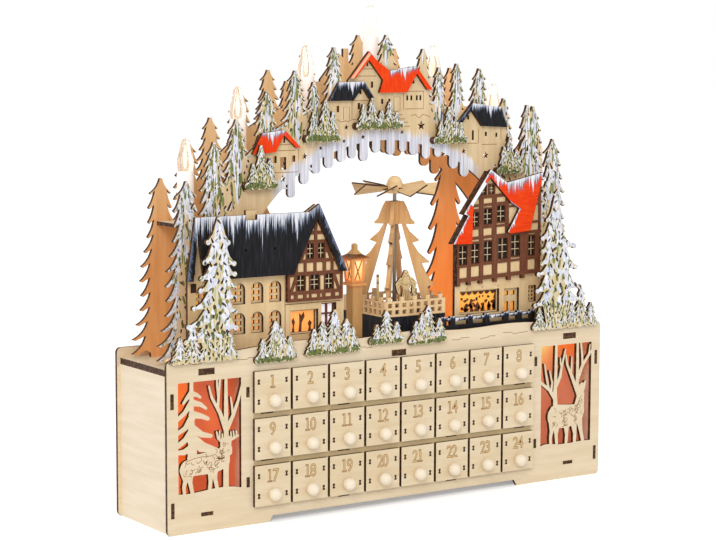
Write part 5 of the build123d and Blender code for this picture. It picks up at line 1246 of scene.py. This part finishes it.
# Small windows at the left house's end, filled with painted shade: x and height ranges above the deck
END_WINDOWS = ((-180.0, -177.0, 69.0, 73.5), (-181.0, -176.0, 55.5, 62.5))


def coat_lines(face, rng):
    """Short curling lines on the animals."""
    tries, steps, step, rim = 20, 4, 1.1, 0.7
    lines = []
    for x, z, half_width, half_height in COATS:
        for _ in range(tries):
            start = Vector((x + half_width * rng.uniform(-1, 1), z + half_height * rng.uniform(-1, 1)))
            heading, points = rng.uniform(0, math.tau), [start]
            for _ in range(steps):
                heading += rng.uniform(0.2, 1.0)
                points.append(points[-1] + Vector((math.cos(heading), math.sin(heading))) * step)
            if all(face.holds(point.x, point.y) and face.depth(point.x, point.y) > rim for point in points):
                lines.append([tuple(point) for point in points])
    return lines


def ribbons(lines, width, y_front, x0=0.0, z0=0.0):
    """Engraved lines on a face at y_front, measured from x0 and z0."""
    return [ribbon([(x0 + x, z0 + z) for x, z in line], width, y_front - LIFT) for line in lines]


def engrave(engraved):
    """Burnt lines on the arch's houses, the walls, the angel, the panel and the animals."""
    panel = BoardFace("front_panel")
    hooks = [((x - HOOK_HALF, z), (x, z + HOOK_HEIGHT), (x + HOOK_HALF, z)) for x, z in SHOP_HOOKS]
    wings = [[(side * x, z) for x, z in line] for line in WING_LINES for side in (-1, 1)]
    low, high = max(loose_boxes("pyramid_figures"), key=lambda box: box[1].x)
    shapes = ribbons(ARCH_LINES, 0.55, ARCH_FRONT, z0=DECK)
    shapes += ribbons(WALL_LINES, 0.7, WALL_FRONT, z0=DECK)
    shapes += ribbons(hooks, 0.5, WALL_FRONT, z0=DECK)
    shapes += ribbons(list(ANGEL_LINES) + wings, 0.6, low.y, (low.x + high.x) / 2, low.z)
    shapes += ribbons(PANEL_LINES, 0.45, panel.y)
    shapes += ribbons(coat_lines(panel, random.Random(15)) + list(STAG_LINES), 0.45, panel.y)
    piece("engraved_lines", mesh_of("engraved_lines", shapes, [engraved]), "cabinet")


# Windows and lights

# Shapes that stand in the lit shop windows: x and height above the deck
LEFT_SHOP_FIGURES = (
    ((-88.5, 18), (-86, 18), (-86.5, 23), (-85.5, 26), (-87, 29.5), (-88.6, 27), (-87.4, 23)),
    ((-82.4, 17.5), (-79.6, 17.5), (-79.4, 25), (-76.6, 30), (-77.4, 33.6), (-79.6, 31), (-81.6, 33),
     (-81.4, 25)),
    ((-73.6, 18), (-70.6, 18), (-71, 22), (-70, 24.6), (-72, 27), (-73.6, 24.4), (-72.6, 21.6)))
RIGHT_SHOP_FIGURES = (
    ((79.5, 22), (82.5, 22), (83, 26), (81.4, 29.5), (79, 26.5)),
    ((85.5, 22), (88.5, 22), (88, 26.5), (86.6, 29), (85, 26)),
    ((91.5, 22), (94.5, 22), (95.4, 27), (93, 30.4), (91, 27)),
    ((97.5, 22), (100.5, 22), (100, 27), (98.8, 29.4), (97.4, 26.6)),
    ((103.5, 22), (106.4, 22), (107, 26.6), (105, 30), (103, 26.6)),
    ((109, 22), (112, 22), (112.4, 26), (110.6, 29), (108.6, 26)))
# The right shop's garland and crowded display: x range, height range above the deck, and how many
RIGHT_SHOP_GARLAND = (75, 112, 36.0, 39.4, 6)
RIGHT_SHOP_DISPLAY = (76, 111, 23, 35, 42)


def garland(x0, x1, low, high, count):
    """Hanging scallops along a window's upper edge."""
    width, middle = (x1 - x0) / count, (low + high) / 2
    scallop = ((0, high), (0.12, middle), (0.36, low), (0.66, low + 0.4), (0.9, middle), (1, high))
    return [[(x0 + (n + share) * width, z) for share, z in scallop] for n in range(count)]


def shop_display(x0, x1, low, high, count, rng):
    """Small dark shapes crowded in a lit shop window."""
    sides, radii, bulge = 6, (0.8, 1.9), (0.6, 1.3)
    outlines = []
    for _ in range(count):
        x, z, radius = rng.uniform(x0, x1), rng.uniform(low, high), rng.uniform(*radii)
        outlines.append([(x + radius * rng.uniform(*bulge) * math.cos(math.tau * n / sides),
                          z + radius * rng.uniform(*bulge) * math.sin(math.tau * n / sides))
                         for n in range(sides)])
    return outlines


def light_windows(finishes):
    """Lit panes and window displays behind the walls, and panes of painted shade in the half-timbering."""
    lit_rim, dark_rim, pane, gap = 1.2, 0.3, 0.3, 0.02
    shapes = {name: [] for name in finishes}
    for low, high in loose_boxes("house_windows"):
        rim = dark_rim if before_wall(low) else lit_rim
        outline = box_outline(low.x + rim, high.x - rim, low.z + rim, high.z - rim)
        # Windows in the half-timbering get a plate of painted shade
        if before_wall(low):
            shapes["dark_panes"].append(plate(outline, WALL_FRONT - 0.08, 0.05))
        else:
            on_the_left = "pale_panes" if low.x > DOOR_X[0] else "warm_panes"
            name = "bright_panes" if low.x > RIGHT_HOUSE_X else on_the_left
            shapes[name].append(plate(outline, high.y + gap, pane))
    # The left house's end windows are plates of painted shade too
    for x0, x1, z0, z1 in END_WINDOWS:
        outline = box_outline(x0, x1, DECK + z0, DECK + z1)
        shapes["dark_panes"].append(plate(outline, WALL_FRONT - 0.04, 0.06))
    figure_y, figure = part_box("house_windows")[1].y / MM - 0.3, 0.25
    display = garland(*RIGHT_SHOP_GARLAND) + shop_display(*RIGHT_SHOP_DISPLAY, random.Random(16))
    for outline in list(LEFT_SHOP_FIGURES + RIGHT_SHOP_FIGURES) + display:
        shapes["shop_figures"].append(plate([(x, DECK + z) for x, z in outline], figure_y, figure))
    for name, plates in shapes.items():
        piece(name, mesh_of(name, plates, [finishes[name]]), "cabinet")


def light_lantern(pane, bars):
    """Glowing panes in the lantern's head, each with a crossed bar."""
    foot_rim, brow_rim, end_gap = 2.8, 1.4, 0.2
    bar, bar_thickness, bar_lift, bar_end, bar_foot, bar_brow = 0.9, 0.35, 0.3, 2, 2.6, 3.4
    # The head is the third of the lantern's solids from below
    low, high = sorted(loose_boxes("lantern"), key=lambda box: box[0].z)[2]
    centre, half = (low + high) / 2, (high.x - low.x) / 2
    foot, brow = half - foot_rim, half - brow_rim
    z0, z1 = low.z + end_gap, high.z - end_gap
    points = [(centre.x + sx * reach, centre.y + sy * reach, z) for reach, z in ((foot, z0), (brow, z1))
              for sx, sy in ((-1, -1), (1, -1), (1, 1), (-1, 1))]
    faces = [[3, 2, 1, 0], [4, 5, 6, 7]] + [[n, (n + 1) % 4, 4 + (n + 1) % 4, 4 + n] for n in range(4)]
    piece("lantern_panes", mesh_of("lantern_panes", [(points, faces, 0)], [pane]), "cabinet")
    shapes = []
    for quarter in range(4):
        turn = Matrix.Rotation(quarter * math.pi / 2, 3, "Z")
        for side in (-1, 1):
            line = [(-side * bar_foot, z0 + bar_end), (side * bar_brow, z1 - bar_end)]
            corners, polygons, number = ribbon(line, bar, 0.0, bar_thickness)
            placed = []
            for x, y, z in corners:
                out = foot + (brow - foot) * (z - z0) / (z1 - z0) + bar_lift
                placed.append(tuple(turn @ Vector((x, y - out, z)) + Vector((centre.x, centre.y, 0))))
            shapes.append((placed, polygons, number))
    piece("lantern_crosses", mesh_of("lantern_crosses", shapes, [bars]), "cabinet")


def light_candles(glow):
    """A lit filament in every bulb, turned from radii at shares of the bulb's height."""
    sides = 8
    profile = ((0.5, 0.08), (1.0, 0.2), (1.3, 0.38), (0.8, 0.6), (0.25, 0.78))
    shapes = []
    for low, high in loose_boxes("candle_tips"):
        centre = (low + high) / 2
        points = []
        for radius, share in profile:
            z = low.z + share * (high.z - low.z)
            points += [(centre.x + radius * math.cos(math.tau * n / sides),
                        centre.y + radius * math.sin(math.tau * n / sides), z) for n in range(sides)]
        faces = [list(range(sides)), list(range(len(points) - sides, len(points)))]
        for row in range(len(profile) - 1):
            for n in range(sides):
                a, b = row * sides + n, row * sides + (n + 1) % sides
                faces.append([a, b, b + sides, a + sides])
        shapes.append((points, faces, 0))
    piece("candle_filaments", mesh_of("candle_filaments", shapes, [glow]), "cabinet")


# Stage


def make_camera():
    """The photograph's camera, looking from its azimuth and elevation, with a little roll."""
    camera = bpy.data.cameras.new("photo_camera")
    camera.sensor_fit = "HORIZONTAL"
    camera.sensor_width = SENSOR_WIDTH
    camera.lens = CAMERA_LENS
    camera.clip_start, camera.clip_end = 0.05, 50.0
    holder = link(bpy.data.objects.new("photo_camera", camera))
    turn, rise = math.radians(CAMERA_AZIMUTH), math.radians(CAMERA_ELEVATION)
    back = Vector((math.sin(turn) * math.cos(rise), -math.cos(turn) * math.cos(rise), math.sin(rise)))
    right = Vector((0, 0, 1)).cross(back).normalized()
    up = back.cross(right)
    frame_axes = Matrix((right, up, back)).transposed()
    roll = Matrix.Rotation(math.radians(CAMERA_ROLL), 3, "Z")
    holder.matrix_world = Matrix.Translation(Vector(CAMERA_PLACE) * MM) @ (frame_axes @ roll).to_4x4()
    bpy.context.scene.camera = holder


def seen_directly(tree):
    """1 for rays that the camera sees, straight or through a gloss or glass."""
    rays = add(tree, "ShaderNodeLightPath").outputs
    mirrored = calc(tree, "MAXIMUM", rays["Is Glossy Ray"], rays["Is Transmission Ray"])
    return calc(tree, "MAXIMUM", rays["Is Camera Ray"], mirrored)


def make_stage():
    """A white floor, an even white surround and one large soft lamp from the left."""
    scene = bpy.context.scene
    scene.view_settings.view_transform = "Standard"
    world = bpy.data.worlds.new("studio")
    scene.world = world
    world.use_nodes = True
    tree = world.node_tree
    strength = plus(tree, SURROUND_LIGHT, times(tree, seen_directly(tree), 1.0 - SURROUND_LIGHT))
    background = tree.nodes["Background"]
    background.inputs["Color"].default_value = (1, 1, 1, 1)
    tree.links.new(strength, background.inputs["Strength"])

    floor_mesh = bpy.data.meshes.new("floor")
    corners = [(x, y, 0) for x, y in box_outline(-FLOOR_REACH, FLOOR_REACH, -FLOOR_REACH, FLOOR_REACH)]
    floor_mesh.from_pydata(corners, [], [[0, 1, 2, 3]])
    material, tree, shader = new_material(
        "floor_white", Base_Color=(0.96, 0.96, 0.96, 1), Roughness=0.9, Specular_IOR_Level=0.0,
        Emission_Color=(1, 1, 1, 1))
    tree.links.new(times(tree, seen_directly(tree), FLOOR_LIFT), shader.inputs["Emission Strength"])
    floor_mesh.materials.append(material)
    link(bpy.data.objects.new("floor", floor_mesh))

    for name, place, size, power in LAMPS:
        lamp = bpy.data.lights.new(name, "AREA")
        lamp.shape = "DISK"
        lamp.size = size
        lamp.energy = power
        holder = link(bpy.data.objects.new(name, lamp))
        holder.location = place
        holder.rotation_mode = "QUATERNION"
        holder.rotation_quaternion = (Vector(LAMP_AIM) - Vector(place)).to_track_quat("-Z", "Y")


make_camera()
make_stage()
dress(make_finishes())
SNOW = stroke_paint("snow_paint", SNOW_LILAC, SNOW_WHITE)
GREEN = stroke_paint("fir_paint", FIR_GREEN, FIR_OLIVE)
BUSH = stroke_paint("bush_paint", BUSH_GREEN, BUSH_OLIVE)
SLIT = stroke_paint("slit_shade", srgb(34, 25, 16), srgb(66, 52, 32))
CHAR = plain_finish("char", CHAR_DARK, srgb(64, 36, 18), Roughness=0.8)
ENGRAVING = plain_finish("engraving", ENGRAVED, srgb(170, 124, 68), Roughness=0.8)
NUMERAL = plain_finish("numeral_face", ENGRAVED_PALE, srgb(220, 190, 138), Roughness=0.7)
PANES = {
    "warm_panes": glowing("warm_panes", srgb(240, 138, 60), srgb(255, 176, 96), 0.6, (DECK, DECK + 60)),
    "pale_panes": glowing("pale_panes", srgb(240, 226, 226), srgb(252, 244, 244), 0.5, (DECK, DECK + 50)),
    "bright_panes": glowing("bright_panes", srgb(242, 136, 46), srgb(250, 178, 70), 0.45,
                            (DECK + 14, DECK + 48)),
    # Panes of painted shade, where the houses are dark inside
    "dark_panes": plain_finish("dark_panes", srgb(34, 24, 20), srgb(60, 42, 32), Roughness=0.4),
    "shop_figures": plain_finish("shop_figures", srgb(84, 44, 20), srgb(120, 66, 30), Roughness=0.7)}
LANTERN_LIGHT = glowing("lantern_light", srgb(250, 142, 64), srgb(255, 196, 130), 0.75,
                        (DECK + 54, DECK + 76), front_only=False)
FILAMENT = plain_finish("filament", srgb(255, 232, 200), srgb(255, 244, 224),
                        Emission_Color=srgb(255, 230, 196), Emission_Strength=0.6)
mark_drawers(ENGRAVING, CHAR, NUMERAL)
engrave(ENGRAVING)
light_windows(PANES)
light_lantern(LANTERN_LIGHT, ENGRAVING)
light_candles(FILAMENT)
paint_front_trees(SNOW, GREEN, BUSH, SLIT)
paint_arch_trees(SNOW, GREEN, BUSH, SLIT)
paint_front_arch(SNOW, GREEN, SLIT)
bpy.data.objects.remove(STROKE)
